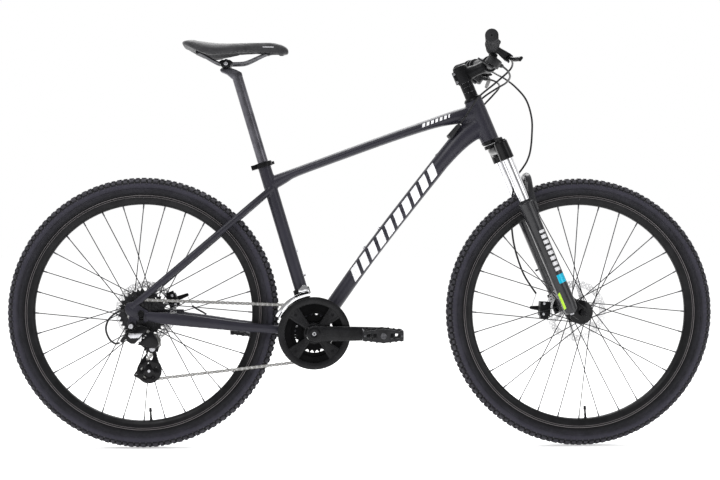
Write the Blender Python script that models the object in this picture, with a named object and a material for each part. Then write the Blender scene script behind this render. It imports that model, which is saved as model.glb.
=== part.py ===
"""Hardtail mountain bike, as separate parts on their joints' axes.

The origin lies on the ground, midway between the two wheels. +X is forward, +Z is up,
and the drive side (chain and chainrings) is at -Y. All the dimensions below are in
millimetres, and new_part() turns them into metres.
"""

from math import asin, atan2, ceil, cos, degrees, hypot, pi, radians, sin, tan

import bmesh
import bpy
from mathutils import Matrix, Vector

MILLIMETRE = 0.001
GAP = 0.3  # between pieces that touch

# Wheels: 27.5 x 2.2 in
WHEELBASE = 1126
WHEEL_RADIUS = 347
TYRE_HALF_WIDTH = 27.5
RIM_OUTER, RIM_INNER, RIM_HALF_WIDTH = 297, 279, 12.5
SPOKES, SPOKE_RADIUS, SPOKE_CROSSES = 32, 1.1, 3
FLANGE_RADIUS = 31
ROTOR_RADIUS, ROTOR_THICKNESS = 80, 1.8
FRONT_HUB_WIDTH, REAR_HUB_WIDTH = 100, 135
FRONT_ROTOR_Y, REAR_ROTOR_Y = 40, 52.2
FRONT_FLANGES, REAR_FLANGES = (-35, 22), (-19, 34)

# Frame
BOTTOM_BRACKET = Vector((-126, 0, 296))
SEAT_ANGLE, SEAT_TUBE_LENGTH, SEAT_TUBE_RADIUS = radians(73.3), 458, 17
HEAD_ANGLE, HEAD_CENTRE = radians(67), Vector((309.5, 0, 844))
HEAD_TUBE_RADIUS, HEAD_TUBE_HALF = 23.5, 57.5
SHELL_RADIUS, SHELL_HALF = 21, 34
SEATPOST_RADIUS = 13.6
BOSS_ON_DOWN_TUBE = (Vector((42.8, 0, 564.1)), Vector((4.7, 0, 514.3)))
BOSS_ON_SEAT_TUBE = (Vector((-171.0, 0, 506.6)), Vector((-149.8, 0, 444.6)))

# Fork, in the steering frame: forward of the steering axis, and up it from the head centre
STEERER_RADIUS = 14.3
STANCHION_RADIUS, STANCHION_FORWARD, STANCHION_Y = 14, 13, 65
LEG_RADIUS, LEG_TOP, LEG_BOTTOM = 20, -238, -545
CROWN_TOP, CROWN_BOTTOM = -66, -118
STANCHION_END, LEG_BORE_END = -400, -506

# Cockpit
BAR_FORWARD, BAR_UP = 74, 126
BAR_RADIUS, BAR_CLAMP_RADIUS, GRIP_RADIUS = 11.1, 15.9, 16
BAR_HALF, GRIP_LENGTH, BACKSWEEP, UPSWEEP, BAR_RISE = 364, 128, radians(8), radians(2), 17

# Drivetrain
CHAIN_PITCH, CHAIN_Y, CHAIN_HALF_WIDTH, CHAIN_HALF_DEPTH = 12.7, -49, 3.5, 4
CHAINRINGS = ((24, -41.5), (34, CHAIN_Y), (44, -56))
COGS, COG_STEP, COG_ON = (11, 13, 15, 17, 20, 23, 26, 30), 4.8, 3
JOCKEY_TEETH = 11
CRANK_LENGTH, CRANK_FACE_Y = 170, 76
GUARD_RADIUS, GUARD_Y = 92.5, -62.5
UPPER_JOCKEY = Vector((-541, CHAIN_Y, 272))
LOWER_JOCKEY = Vector((-545, CHAIN_Y, 201))
HANGER = Vector((-587, 0, 316))

REAR_AXLE = Vector((-WHEELBASE / 2, 0, WHEEL_RADIUS))
FRONT_AXLE = Vector((WHEELBASE / 2, 0, WHEEL_RADIUS))
SIDE_NAMES = {-1: "right", 1: "left"}


# ---------------------------------------------------------------- frames of reference

HEAD_UP = Vector((-cos(HEAD_ANGLE), 0, sin(HEAD_ANGLE)))
HEAD_FORWARD = Vector((sin(HEAD_ANGLE), 0, cos(HEAD_ANGLE)))
SEAT_UP = Vector((-cos(SEAT_ANGLE), 0, sin(SEAT_ANGLE)))
SEAT_FORWARD = Vector((sin(SEAT_ANGLE), 0, cos(SEAT_ANGLE)))
ACROSS = Vector((0, 1, 0))


def steer(forward, up, y=0.0):
    """A point given forward of the steering axis and up along it."""
    return HEAD_CENTRE + HEAD_FORWARD * forward + HEAD_UP * up + ACROSS * y


def seat(forward, up, y=0.0):
    """A point given forward of the seat tube's axis and up along it."""
    return BOTTOM_BRACKET + SEAT_FORWARD * forward + SEAT_UP * up + ACROSS * y


def pitch_radius(teeth):
    return CHAIN_PITCH / (2 * sin(pi / teeth))


# ---------------------------------------------------------------- scene and materials

for old in list(bpy.data.objects):
    bpy.data.objects.remove(old)


def make_material(name, colour, roughness, metallic=0.0):
    material = bpy.data.materials.new(name)
    material.use_nodes = True
    shader = material.node_tree.nodes["Principled BSDF"]
    shader.inputs["Base Color"].default_value = (*colour, 1)
    shader.inputs["Roughness"].default_value = roughness
    shader.inputs["Metallic"].default_value = metallic
    return material


FRAME_PAINT = make_material("frame_paint", (0.035, 0.033, 0.045), 0.5)
BLACK_ALLOY = make_material("black_alloy", (0.02, 0.02, 0.022), 0.35, 0.6)
BLACK_PLASTIC = make_material("black_plastic", (0.018, 0.018, 0.02), 0.5)
RUBBER = make_material("rubber", (0.02, 0.02, 0.02), 0.85)
SADDLE_COVER = make_material("saddle_cover", (0.025, 0.025, 0.028), 0.6)
STEEL = make_material("steel", (0.55, 0.55, 0.57), 0.3, 1.0)
CHROME = make_material("chrome", (0.8, 0.8, 0.82), 0.08, 1.0)
CHAIN_STEEL = make_material("chain_steel", (0.3, 0.29, 0.27), 0.4, 1.0)


# ---------------------------------------------------------------- shapes

def skin(mesh, rings, closed=False):
    """Faces between rings of points, with a cap at each end unless the rings close on themselves."""
    rows = [[mesh.verts.new(point) for point in ring] for ring in rings]
    pairs = list(zip(rows, rows[1:])) + ([(rows[-1], rows[0])] if closed else [])
    for row, following in pairs:
        for i in range(len(row)):
            j = (i + 1) % len(row)
            mesh.faces.new((row[i], row[j], following[j], following[i]))
    if not closed:
        mesh.faces.new(rows[0])
        mesh.faces.new(rows[-1])
    bmesh.ops.recalc_face_normals(mesh, faces=mesh.faces)
    return mesh


def across_axes(direction):
    """Two unit vectors at right angles to a direction, the first one horizontal."""
    side = Vector((0, 0, 1)).cross(direction)
    if side.length < 1e-6:
        side = Vector((0, 1, 0))
    side.normalize()
    return side, direction.cross(side).normalized()


def ellipse(centre, side, up, half_side, half_up, count):
    turns = [2 * pi * (i + 0.5) / count for i in range(count)]
    return [centre + side * (half_side * cos(t)) + up * (half_up * sin(t)) for t in turns]


def rod(start, end, radius, end_radius=None, sides=12):
    """A round bar, or a cone, between two points."""
    side, up = across_axes((end - start).normalized())
    last = radius if end_radius is None else end_radius
    return skin(bmesh.new(), [ellipse(start, side, up, radius, radius, sides),
                              ellipse(end, side, up, last, last, sides)])


def tube_along(stations, sides=12):
    """A bar through (centre, half depth, half width) stations, the width measured across Y."""
    rings = []
    for i, (centre, depth, width) in enumerate(stations):
        before = stations[max(i - 1, 0)][0]
        after = stations[min(i + 1, len(stations) - 1)][0]
        along = (after - before).normalized()
        side = (ACROSS - along * along.dot(ACROSS)).normalized()
        rings.append(ellipse(centre, side, along.cross(side), width, depth, sides))
    return skin(bmesh.new(), rings)


def lathe(profile, centre, axis, steps):
    """A closed solid of revolution from (along, radius) corners, none of them on the axis."""
    side, up = across_axes(axis)
    rings = []
    for k in range(steps):
        out = side * cos(2 * pi * k / steps) + up * sin(2 * pi * k / steps)
        rings.append([centre + axis * along + out * radius for along, radius in profile])
    return skin(bmesh.new(), rings, closed=True)


def ring(centre, axis, inner, outer, low, high, steps=24):
    """A plain tube wall from low to high along its axis."""
    return lathe([(low, inner), (high, inner), (high, outer), (low, outer)], centre, axis, steps)


def slab(outline, low, high, origin=Vector(), first=Vector((1, 0, 0)), second=Vector((0, 0, 1))):
    """An outline of (first, second) corners, extruded from low to high along Y or the plane's normal."""
    normal = ACROSS if abs(first.y) + abs(second.y) < 1e-9 else first.cross(second).normalized()
    flat = [origin + first * a + second * b for a, b in outline]
    return skin(bmesh.new(), [[point + normal * low for point in flat],
                              [point + normal * high for point in flat]])


def block(centre, half, first=Vector((1, 0, 0)), second=Vector((0, 1, 0))):
    """A box by its centre, half sizes and two of its directions."""
    third = first.cross(second)
    corner = [(-1, -1), (1, -1), (1, 1), (-1, 1)]
    flat = [centre + first * (a * half[0]) + second * (b * half[1]) for a, b in corner]
    return skin(bmesh.new(), [[point - third * half[2] for point in flat],
                              [point + third * half[2] for point in flat]])


def gathered(meshes):
    """Several shapes as one mesh, to be added or cut in one Boolean."""
    together = bmesh.new()
    for piece in meshes:
        scratch = bpy.data.meshes.new("scratch")
        piece.to_mesh(scratch)
        together.from_mesh(scratch)
        bpy.data.meshes.remove(scratch)
    return together


def scratch_object(mesh):
    data = bpy.data.meshes.new("scratch")
    mesh.to_mesh(data)
    scratch = bpy.data.objects.new("scratch", data)
    bpy.context.collection.objects.link(scratch)
    return scratch


def combine(parts, cuts=()):
    """The union of the parts, less the cuts, as one mesh."""
    body = scratch_object(parts[0])
    steps = [("UNION", part) for part in parts[1:]] + [("DIFFERENCE", cut) for cut in cuts]
    for operation, mesh in steps:
        tool = scratch_object(mesh)
        modifier = body.modifiers.new("join", "BOOLEAN")
        modifier.operation, modifier.solver, modifier.object = operation, "EXACT", tool
        modifier.use_self = operation == "UNION"
        seen = body.evaluated_get(bpy.context.evaluated_depsgraph_get())
        result = bpy.data.meshes.new_from_object(seen)
        body.modifiers.clear()
        body.data = result
        bpy.data.objects.remove(tool)
    mesh = bmesh.new()
    mesh.from_mesh(body.data)
    bpy.data.objects.remove(body)
    return mesh


def new_part(name, mesh, material, origin=Vector(), parent=None):
    """The named object of a sub-part, with its origin on its joint's axis."""
    bmesh.ops.translate(mesh, verts=mesh.verts, vec=-origin)
    bmesh.ops.scale(mesh, verts=mesh.verts, vec=(MILLIMETRE,) * 3)
    data = bpy.data.meshes.new(name)
    mesh.to_mesh(data)
    mesh.free()
    data.materials.clear()
    data.materials.append(material)
    data.shade_smooth()
    data.set_sharp_from_angle(angle=radians(35))
    part = bpy.data.objects.new(name, data)
    bpy.context.collection.objects.link(part)
    part.location = origin * MILLIMETRE
    if parent:
        part.parent = parent
        part.matrix_parent_inverse = Matrix.Translation(-parent.location)
    return part


def pivot(name, position):
    """An empty on a joint's axis, which the pieces of that body are parented to."""
    empty = bpy.data.objects.new(name, None)
    bpy.context.collection.objects.link(empty)
    empty.location = position * MILLIMETRE
    empty.empty_display_size = 0.03
    return empty


def smooth_route(points, spacing):
    """A Catmull-Rom curve through the points, read off at an even spacing."""
    ends = [points[0] * 2 - points[1]] + list(points) + [points[-1] * 2 - points[-2]]
    fine = []
    for a, b, c, d in zip(ends, ends[1:], ends[2:], ends[3:]):
        for step in range(12):
            t = step / 12
            fine.append(0.5 * (2 * b + (c - a) * t + (2 * a - 5 * b + 4 * c - d) * t * t
                               + (3 * b - a - 3 * c + d) * t ** 3))
    fine.append(points[-1])
    total = sum((b - a).length for a, b in zip(fine, fine[1:]))
    count = max(2, ceil(total / spacing))
    route, walked, reach = [fine[0]], 0.0, total / count
    for a, b in zip(fine, fine[1:]):
        step = (b - a).length
        while walked + step >= reach - 1e-6 and len(route) < count:
            route.append(a.lerp(b, (reach - walked) / step))
            reach += total / count
        walked += step
    return route + [fine[-1]]


def new_cable(name, points, diameter=5.0):
    """A cable housing: a plain tube along a smooth curve through its route's points."""
    route = smooth_route([Vector(point) for point in points], diameter * 4.5)
    curve = bpy.data.curves.new(name, "CURVE")
    curve.dimensions = "3D"
    curve.bevel_depth = diameter / 2 * MILLIMETRE
    curve.bevel_resolution = 1
    curve.use_fill_caps = True
    spline = curve.splines.new("POLY")
    spline.points.add(len(route) - 1)
    for point, place in zip(spline.points, route):
        point.co = (*(place * MILLIMETRE), 1)
    curve.materials.append(BLACK_PLASTIC)
    cable = bpy.data.objects.new(name, curve)
    bpy.context.collection.objects.link(cable)
    return cable


# ---------------------------------------------------------------- wheels

def tyre_profile():
    """The tyre's section as (across, radius) corners: bead, side, tread and back."""
    bead_radius = RIM_OUTER + GAP + 1
    middle = (bead_radius + WHEEL_RADIUS) / 2
    half_height = (WHEEL_RADIUS - bead_radius) / 2
    corners = []
    for turn in range(-50, 231, 40):
        across = TYRE_HALF_WIDTH * cos(radians(turn))
        corners.append((across, middle + half_height * sin(radians(turn))))
    top = max(radius for _, radius in corners)
    return [(across, radius + WHEEL_RADIUS - top) for across, radius in corners]


def rim_profile():
    """A box rim, narrow at the spokes."""
    return [(-RIM_HALF_WIDTH, RIM_OUTER), (-RIM_HALF_WIDTH, RIM_OUTER - 10), (-5, RIM_INNER),
            (5, RIM_INNER), (RIM_HALF_WIDTH, RIM_OUTER - 10), (RIM_HALF_WIDTH, RIM_OUTER)]


def spoke_set(axle, flanges):
    """Crossed spokes from both flanges to the rim's inner wall."""
    bars = []
    per_flange = SPOKES // 2
    for number in range(SPOKES):
        left = number % 2
        order = number // 2
        leading = 1 if order % 2 else -1
        rim_turn = 2 * pi * number / SPOKES
        sweep = leading * 2 * pi * SPOKE_CROSSES / per_flange
        hole_turn = rim_turn + sweep
        depth = flanges[left] + leading * 1.7
        hole = axle + Vector((sin(hole_turn) * (FLANGE_RADIUS - 3.5), depth, cos(hole_turn) * (FLANGE_RADIUS - 3.5)))
        reach = RIM_INNER - 1.4
        seat_y = (1 if left else -1) * 2.0
        nipple = axle + Vector((sin(rim_turn) * reach, seat_y, cos(rim_turn) * reach))
        bars.append(rod(hole, nipple, SPOKE_RADIUS, sides=3))
    return gathered(bars)


def hub(axle, flanges, half_width, bearing_radius=9.5, extras=()):
    """A hollow hub shell with its two flanges and all its spokes."""
    low, high = flanges
    bore = 5.4
    shell = lathe([(-half_width, bore), (half_width, bore), (half_width, bearing_radius),
                   (high + 2, bearing_radius + 4), (high + 1.5, FLANGE_RADIUS),
                   (high - 1.5, FLANGE_RADIUS), (high - 2, 17), (low + 2, 17),
                   (low + 1.5, FLANGE_RADIUS), (low - 1.5, FLANGE_RADIUS),
                   (low - 2, bearing_radius + 4), (-half_width, bearing_radius)],
                  axle, ACROSS, 16)
    return combine([shell, *extras, spoke_set(axle, flanges)])


def rotor(axle, y):
    """A brake disc with six arms: the braking ring, the arms and the mounting ring."""
    half = ROTOR_THICKNESS / 2
    centre = axle + ACROSS * y
    band = ring(centre, ACROSS, ROTOR_RADIUS - 14, ROTOR_RADIUS, -half, half, 24)
    boss = ring(centre, ACROSS, 17.6, 27, -half, half, 12)
    arms = []
    for k in range(6):
        turn = 2 * pi * k / 6
        start = centre + Vector((cos(turn), 0, sin(turn))) * 24
        end = centre + Vector((cos(turn + 0.5), 0, sin(turn + 0.5))) * (ROTOR_RADIUS - 10)
        along = (end - start).normalized()
        arms.append(block((start + end) / 2, ((end - start).length / 2, half * 0.98, 3.5), along, ACROSS))
    return combine([band, boss, gathered(arms)])


def make_wheels():
    front, rear = pivot("front_wheel", FRONT_AXLE), pivot("rear_wheel", REAR_AXLE)
    rotor_seat = ring(FRONT_AXLE, ACROSS, 9, 17, 23, FRONT_ROTOR_Y - 1.3, 12)
    front_hub = hub(FRONT_AXLE, FRONT_FLANGES, FRONT_HUB_WIDTH / 2 - GAP - 0.2, extras=[rotor_seat])
    rear_seat = ring(REAR_AXLE, ACROSS, 9, 17, 35, REAR_ROTOR_Y - 1.3, 12)
    freehub = ring(REAR_AXLE, ACROSS, 9, 15.5, -63, -20, 14)
    rear_hub = hub(REAR_AXLE, REAR_FLANGES, REAR_HUB_WIDTH / 2 - GAP - 0.2, extras=[rear_seat, freehub])
    for name, axle, parent, spoked, rotor_y in (
            ("front", FRONT_AXLE, front, front_hub, FRONT_ROTOR_Y),
            ("rear", REAR_AXLE, rear, rear_hub, REAR_ROTOR_Y)):
        new_part(f"{name}_tyre", lathe(tyre_profile(), axle, ACROSS, 40), RUBBER, axle, parent)
        new_part(f"{name}_rim", lathe(rim_profile(), axle, ACROSS, 40), BLACK_ALLOY, axle, parent)
        new_part(f"{name}_hub", spoked, BLACK_ALLOY, axle, parent)
        new_part(f"{name}_rotor", rotor(axle, rotor_y), STEEL, axle, parent)


# ---------------------------------------------------------------- frame

def down_tube():
    stations = [((-122, 300), 19.5, 21), ((25.6, 507.6), 20, 22), ((180, 706), 21.3, 23), ((212, 746), 22, 23),
                ((240, 778), 24, 23), ((268, 806), 27, 22), ((300, 828), 28, 20)]
    return tube_along([(Vector((x, 0, z)), depth, width) for (x, z), depth, width in stations], 14)


def top_tube():
    stations = [((-246, 676), 17, 14.5), ((-224, 684.5), 17, 15), ((-200, 696), 14.6, 16.5),
                ((-169.7, 709.7), 11.8, 18), ((78.9, 801), 12, 20), ((172.5, 832.8), 13.3, 21),
                ((250, 854), 19, 20), ((302, 864), 22, 18)]
    return tube_along([(Vector((x, 0, z)), depth, width) for (x, z), depth, width in stations], 14)


def chain_stay(side):
    stations = [((-140, 24, 299), 10.5, 9), ((-190, 35.2, 302), 11, 8.2), ((-235, 42, 306), 11, 8),
                ((-315, 47.5, 313), 12.5, 8), ((-395, 55.5, 322.5), 14.5, 8),
                ((-480, 64, 332.5), 15.8, 7), ((-528, 69.6, 338), 14, 4.5), ((-553, 71.2, 341), 12, 3.6)]
    return tube_along([(Vector((x, y * side, z)), depth, width) for (x, y, z), depth, width in stations], 10)


def seat_stay(side):
    stations = [((-232, 9, 668), 9, 7.5), ((-250, 17, 652.7), 9, 7.5), ((-282, 33, 625.3), 9, 7),
                ((-315, 40.5, 597), 8.8, 6.6), ((-480, 59.5, 455.7), 8.8, 6.6),
                ((-530, 65.5, 412.9), 8.8, 6), ((-566, 70.4, 382), 9, 4), ((-590, 71.2, 362), 9, 3.4)]
    return tube_along([(Vector((x, y * side, z)), depth, width) for (x, y, z), depth, width in stations], 10)


def dropout(side):
    """The plate that holds the rear axle in an open slot; the drive side's also holds the derailleur."""
    outline = [(-605, 362), (-599, 374), (-584, 377), (-566, 366), (-546, 354), (-540, 340),
               (-546, 329), (-556, 324), (-572, 328), (-584, 338), (-600, 346)]
    plates = [slab(outline, *sorted((side * 67.7, side * 73.5)))]
    if side < 0:
        hanger = [(-592, 344), (-574, 334), (-576, 320), (-577, 309), (-583, 304), (-592, 304),
                  (-597, 310), (-598, 322)]
        plates.append(slab(hanger, -73.2, -67.9))
    return plates


def axle_slot(side):
    """A slot just over 10 mm wide, open at the bottom, with a round top at the axle."""
    low, high = sorted((side * 60, side * 80))
    return combine([slab([(-568.2, 347), (-557.8, 347), (-559.8, 300), (-570.2, 300)], low, high),
                    rod(REAR_AXLE + ACROSS * (low - 1), REAR_AXLE + ACROSS * (high + 1), 5.2, sides=16)])


def bottle_boss(foot, outward):
    """A threaded boss with a flat top, standing on a tube."""
    return rod(foot - outward * 8, foot + outward * 2.4, 5, sides=8)


def make_frame():
    down_out = Vector((-sin(radians(52.7)), 0, cos(radians(52.7))))
    shell = rod(BOTTOM_BRACKET - ACROSS * SHELL_HALF, BOTTOM_BRACKET + ACROSS * SHELL_HALF, SHELL_RADIUS, sides=18)
    head = rod(steer(0, -HEAD_TUBE_HALF), steer(0, HEAD_TUBE_HALF), HEAD_TUBE_RADIUS, sides=18)
    cups = [rod(steer(0, -HEAD_TUBE_HALF - 6.5), steer(0, -HEAD_TUBE_HALF + 5), 21.5, 24.6, 18),
            rod(steer(0, HEAD_TUBE_HALF - 5), steer(0, HEAD_TUBE_HALF + 7), 24.6, 20, 18)]
    seat_tube = rod(seat(0, 0), seat(0, SEAT_TUBE_LENGTH), SEAT_TUBE_RADIUS, sides=16)
    bridges = [rod(Vector((-297, -36, 612)), Vector((-297, 36, 612)), 6.5, sides=10),
               rod(Vector((-203, -36, 303)), Vector((-203, 36, 303)), 5, sides=8)]
    bosses = [bottle_boss(foot, down_out) for foot in BOSS_ON_DOWN_TUBE]
    bosses += [bottle_boss(foot, SEAT_FORWARD) for foot in BOSS_ON_SEAT_TUBE]
    ports = [rod(Vector((226, side * 15, 800)), Vector((250, side * 25, 832)), 8, 4.6, 10) for side in (-1, 1)]
    ports.append(rod(Vector((196, 14, 750)), Vector((222, 27, 778)), 8, 4.6, 10))
    caliper_tab = slab([(-518, 338), (-462, 334), (-466, 352), (-516, 353)], 57, 67)
    parts = [down_tube(), top_tube(), head, *cups, seat_tube, shell]
    for side in (-1, 1):
        parts += [chain_stay(side), seat_stay(side), *dropout(side)]
    parts += bridges + bosses + ports + [caliper_tab]
    cuts = [rod(BOTTOM_BRACKET - ACROSS * 50, BOTTOM_BRACKET + ACROSS * 50, 17.5, sides=16),
            rod(steer(0, -HEAD_TUBE_HALF - 20), steer(0, HEAD_TUBE_HALF + 20), STEERER_RADIUS + 0.6, sides=16),
            rod(seat(0, SEAT_TUBE_LENGTH - 240), seat(0, SEAT_TUBE_LENGTH + 20), SEATPOST_RADIUS + GAP, sides=16),
            axle_slot(-1), axle_slot(1)]
    new_part("frame", combine(parts, cuts), FRAME_PAINT)


def make_seat_collar():
    """The clamp ring on the seat tube with its lever, which turns on a pin across the ears."""
    top = SEAT_TUBE_LENGTH
    band = ring(seat(0, top), SEAT_UP, SEAT_TUBE_RADIUS + GAP, SEAT_TUBE_RADIUS + 5, -14, -1, 20)
    ears = block(seat(-26, top - 7.5), (7, 9, 6), SEAT_FORWARD, ACROSS)
    new_part("seat_collar", combine([band, ears]), BLACK_ALLOY)
    pin = seat(-28, top - 7.5, 14)
    hub_of_lever = rod(pin - SEAT_UP * 5.5, pin + SEAT_UP * 5.5, 4.5, sides=12)
    arm = [(-3, 0), (4, 0), (8, 12), (40, 13), (52, 15), (52, 20), (38, 19), (2, 18)]
    handle = slab(arm, -4, 4, pin - ACROSS * 3, SEAT_FORWARD, ACROSS)
    new_part("collar_lever", combine([hub_of_lever, handle]), BLACK_ALLOY, pin)


def make_seatpost_and_saddle():
    shaft = rod(seat(0, SEAT_TUBE_LENGTH - 110), seat(0, 690), SEATPOST_RADIUS, sides=16)
    head = slab([(-336, 950), (-309, 954), (-312, 966), (-338, 976.2), (-364, 976.2), (-368, 969), (-352, 961)],
                -11, 11)
    post = new_part("seatpost", combine([shaft, head]), BLACK_ALLOY, seat(0, SEAT_TUBE_LENGTH))

    clamp = Vector((-352, 0, 986))
    body = pivot("saddle_pivot", clamp)
    body.parent = post
    body.matrix_parent_inverse = Matrix.Translation(-post.location)
    rails = []
    for side in (-1, 1):
        route = [(-424, 16, 1014), (-400, 19, 1003), (-378, 22, 991), (-362, 22, 987), (-318, 22, 987),
                 (-296, 22, 991), (-262, 15, 1007), (-246, 7, 1013)]
        rails.append(tube_along([(Vector((x, y * side, z)), 3.5, 3.5) for x, y, z in route], 8))
    keel = [(-12, -1), (12, -1), (11, -4), (7, -7.8), (3, -9.2), (-3, -9.2), (-7, -7.8), (-11, -4)]
    jaws = [block(clamp + Vector((0, 0, 4.2)), (17, 27, 5.5)), slab(keel, -27, 27, clamp)]
    for end in ((-424, 1014), (-246, 1013)):
        rails.append(block(Vector((end[0], 0, end[1])), (5, 19 if end[0] < -300 else 10, 3.6)))
    new_part("saddle_rails", combine([rails[0], *rails[1:], *jaws]), STEEL, clamp, body)
    new_part("saddle", saddle_solid(), SADDLE_COVER, clamp, body)


def saddle_solid():
    """A closed hollow-backed shell: each station is (x, half width, top, skirt, underside)."""
    stations = [(-466, 30, 1046, 1036, 1034), (-458, 52, 1047, 1028, 1028), (-440, 67, 1046, 1018, 1026),
                (-415, 72, 1042, 1006, 1022), (-385, 68, 1038.5, 1000, 1021), (-355, 55, 1037.5, 1004, 1021),
                (-320, 38, 1039, 1010, 1021.5), (-280, 26, 1041, 1013, 1022), (-240, 21.5, 1041.5, 1011, 1021.5),
                (-212, 20, 1040, 1008, 1018), (-195, 15, 1034, 1010, 1013), (-187.5, 7, 1026, 1014, 1015)]
    rings = []
    for x, width, top, skirt, under in stations:
        rise = top - skirt
        half = [(0, top), (0.45 * width, top - 0.05 * rise), (0.8 * width, top - 0.22 * rise),
                (width, top - 0.6 * rise), (0.97 * width, skirt), (0.84 * width, skirt), (0.7 * width, under)]
        mirrored = [(-y, z) for y, z in reversed(half) if y > 0]
        rings.append([Vector((x, y, z)) for y, z in half + [(0, under)] + mirrored])
    return skin(bmesh.new(), rings)


# ---------------------------------------------------------------- fork

def make_fork():
    steering = pivot("steering", HEAD_CENTRE)
    steerer = rod(steer(0, CROWN_TOP - 10), steer(0, BAR_UP + 20), STEERER_RADIUS, sides=16)
    race = rod(steer(0, CROWN_TOP - 4), steer(0, -HEAD_TUBE_HALF - 6.5 - GAP), 22, 21.5, 16)
    shoulders = [rod(steer(STANCHION_FORWARD, CROWN_BOTTOM, STANCHION_Y * side),
                     steer(STANCHION_FORWARD, CROWN_TOP - 3, STANCHION_Y * side), 18.5, 17.5, 16) for side in (-1, 1)]
    bridge = tube_along_y([(-62, 12, -96, 15, 14), (-40, 9, -86, 17, 15), (0, 5, -83, 20, 15),
                           (40, 9, -86, 17, 15), (62, 12, -96, 15, 14)])
    stanchions = [rod(steer(STANCHION_FORWARD, STANCHION_END, STANCHION_Y * side),
                      steer(STANCHION_FORWARD, CROWN_BOTTOM + 20, STANCHION_Y * side),
                      STANCHION_RADIUS, sides=16) for side in (-1, 1)]
    new_part("fork_uppers", combine([steerer, race, bridge, *shoulders, *stanchions]), CHROME, HEAD_CENTRE, steering)
    lowers = pivot("fork_slider", steer(STANCHION_FORWARD, LEG_TOP))
    lowers.parent = steering
    lowers.matrix_parent_inverse = Matrix.Translation(-steering.location)
    new_part("fork_lowers", fork_lowers(), BLACK_ALLOY, steer(STANCHION_FORWARD, LEG_TOP), lowers)
    return steering, lowers


def tube_along_y(stations):
    """A bar across the bike through (y, forward, up, half forward, half up) stations of the steering frame."""
    rings = []
    for y, forward, up, half_forward, half_up in stations:
        rings.append(ellipse(steer(forward, up, y), HEAD_FORWARD, HEAD_UP, half_forward, half_up, 12))
    return skin(bmesh.new(), rings)


def fork_lowers():
    """Both hollow legs, the arch in front of them and the open dropouts."""
    parts, cuts = [], []
    axle_up = (FRONT_AXLE - HEAD_CENTRE).dot(HEAD_UP)
    axle_forward = (FRONT_AXLE - HEAD_CENTRE).dot(HEAD_FORWARD)
    for side in (-1, 1):
        y = STANCHION_Y * side
        parts.append(rod(steer(STANCHION_FORWARD, LEG_BOTTOM, y), steer(STANCHION_FORWARD, LEG_TOP, y), LEG_RADIUS, sides=16))
        lug = [(-4, -497), (29, -497), (40, -530), (axle_forward + 12, axle_up + 9), (axle_forward + 12, axle_up - 7),
               (axle_forward + 3, axle_up - 14), (22, axle_up - 12), (6, LEG_BOTTOM)]
        parts.append(slab(lug, *sorted((side * 50.5, side * 60)), HEAD_CENTRE, HEAD_FORWARD, HEAD_UP))
        low, high = sorted((side * 48, side * 66))
        slot = [(axle_forward - 4.8, axle_up), (axle_forward + 4.8, axle_up),
                (axle_forward + 4.8, axle_up - 30), (axle_forward - 4.8, axle_up - 30)]
        cuts.append(rod(steer(STANCHION_FORWARD, LEG_BORE_END, y), steer(STANCHION_FORWARD, LEG_TOP + 60, y),
                        STANCHION_RADIUS + 0.6, sides=16))
        cuts.append(combine([slab(slot, low, high, HEAD_CENTRE, HEAD_FORWARD, HEAD_UP),
                             rod(FRONT_AXLE + ACROSS * (low - 1), FRONT_AXLE + ACROSS * (high + 1), 4.8, sides=16)]))
    arch = tube_along_y([(-66, 27, -262, 13, 22), (-60, 33, -232, 10.5, 18), (-50, 41, -204, 9, 14),
                         (-34, 48, -184, 9, 10), (0, 51, -178, 9, 9), (34, 48, -184, 9, 10),
                         (50, 41, -204, 9, 14), (60, 33, -232, 10.5, 18), (66, 27, -262, 13, 22)])
    tab = block(steer(-7.3, -518, 59), (5, 7, 27), HEAD_FORWARD, ACROSS)
    return combine([parts[0], parts[2], arch, parts[1], parts[3], tab], cuts)


def caliper(centre, outward, away, height, width, rotor_y):
    """A brake caliper block around the rotor's edge, slotted for the disc."""
    along = outward.cross(ACROSS).normalized()
    body = block(centre, (width, 17, height), outward, ACROSS)
    piston = rod(centre + ACROSS * 12, centre + ACROSS * 21, 14, 13, 14)
    foot = block(centre + along * away, (width * 0.75, 13, 6), outward, ACROSS)
    disc_gap = rotor_y - centre.y
    slot = block(centre + ACROSS * disc_gap - outward * 8, (width, 1.9, height * 2), outward, ACROSS)
    return combine([body, piston, foot], [slot])


def make_brakes(lowers):
    """Mechanical disc calipers and the arms that their cables pull."""
    front = steer(-34.5, -519, 43)
    front_out = (front - FRONT_AXLE - ACROSS * 43).normalized()
    new_part("front_caliper", caliper(front, front_out, 20, 19, 14, FRONT_ROTOR_Y), BLACK_ALLOY, front, lowers)
    rear = Vector((-493, 54, 376))
    rear_out = (rear - REAR_AXLE - ACROSS * 54).normalized()
    new_part("rear_caliper", caliper(rear, rear_out, 18, 17, 13, REAR_ROTOR_Y), BLACK_ALLOY, rear)
    for name, place, reach, parent in (("front", front, Vector((-32, 0, 2)), lowers),
                                       ("rear", rear, Vector((36, 0, 14)), None)):
        hinge = place + ACROSS * 24
        arm_hub = rod(hinge - ACROSS * 2.5, hinge + ACROSS * 2.5, 10, sides=14)
        bar = block(hinge + reach / 2, (reach.length / 2 + 3, 2.2, 5), reach.normalized(), ACROSS)
        new_part(f"{name}_caliper_arm", combine([arm_hub, bar]), BLACK_ALLOY, hinge, parent)


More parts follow.
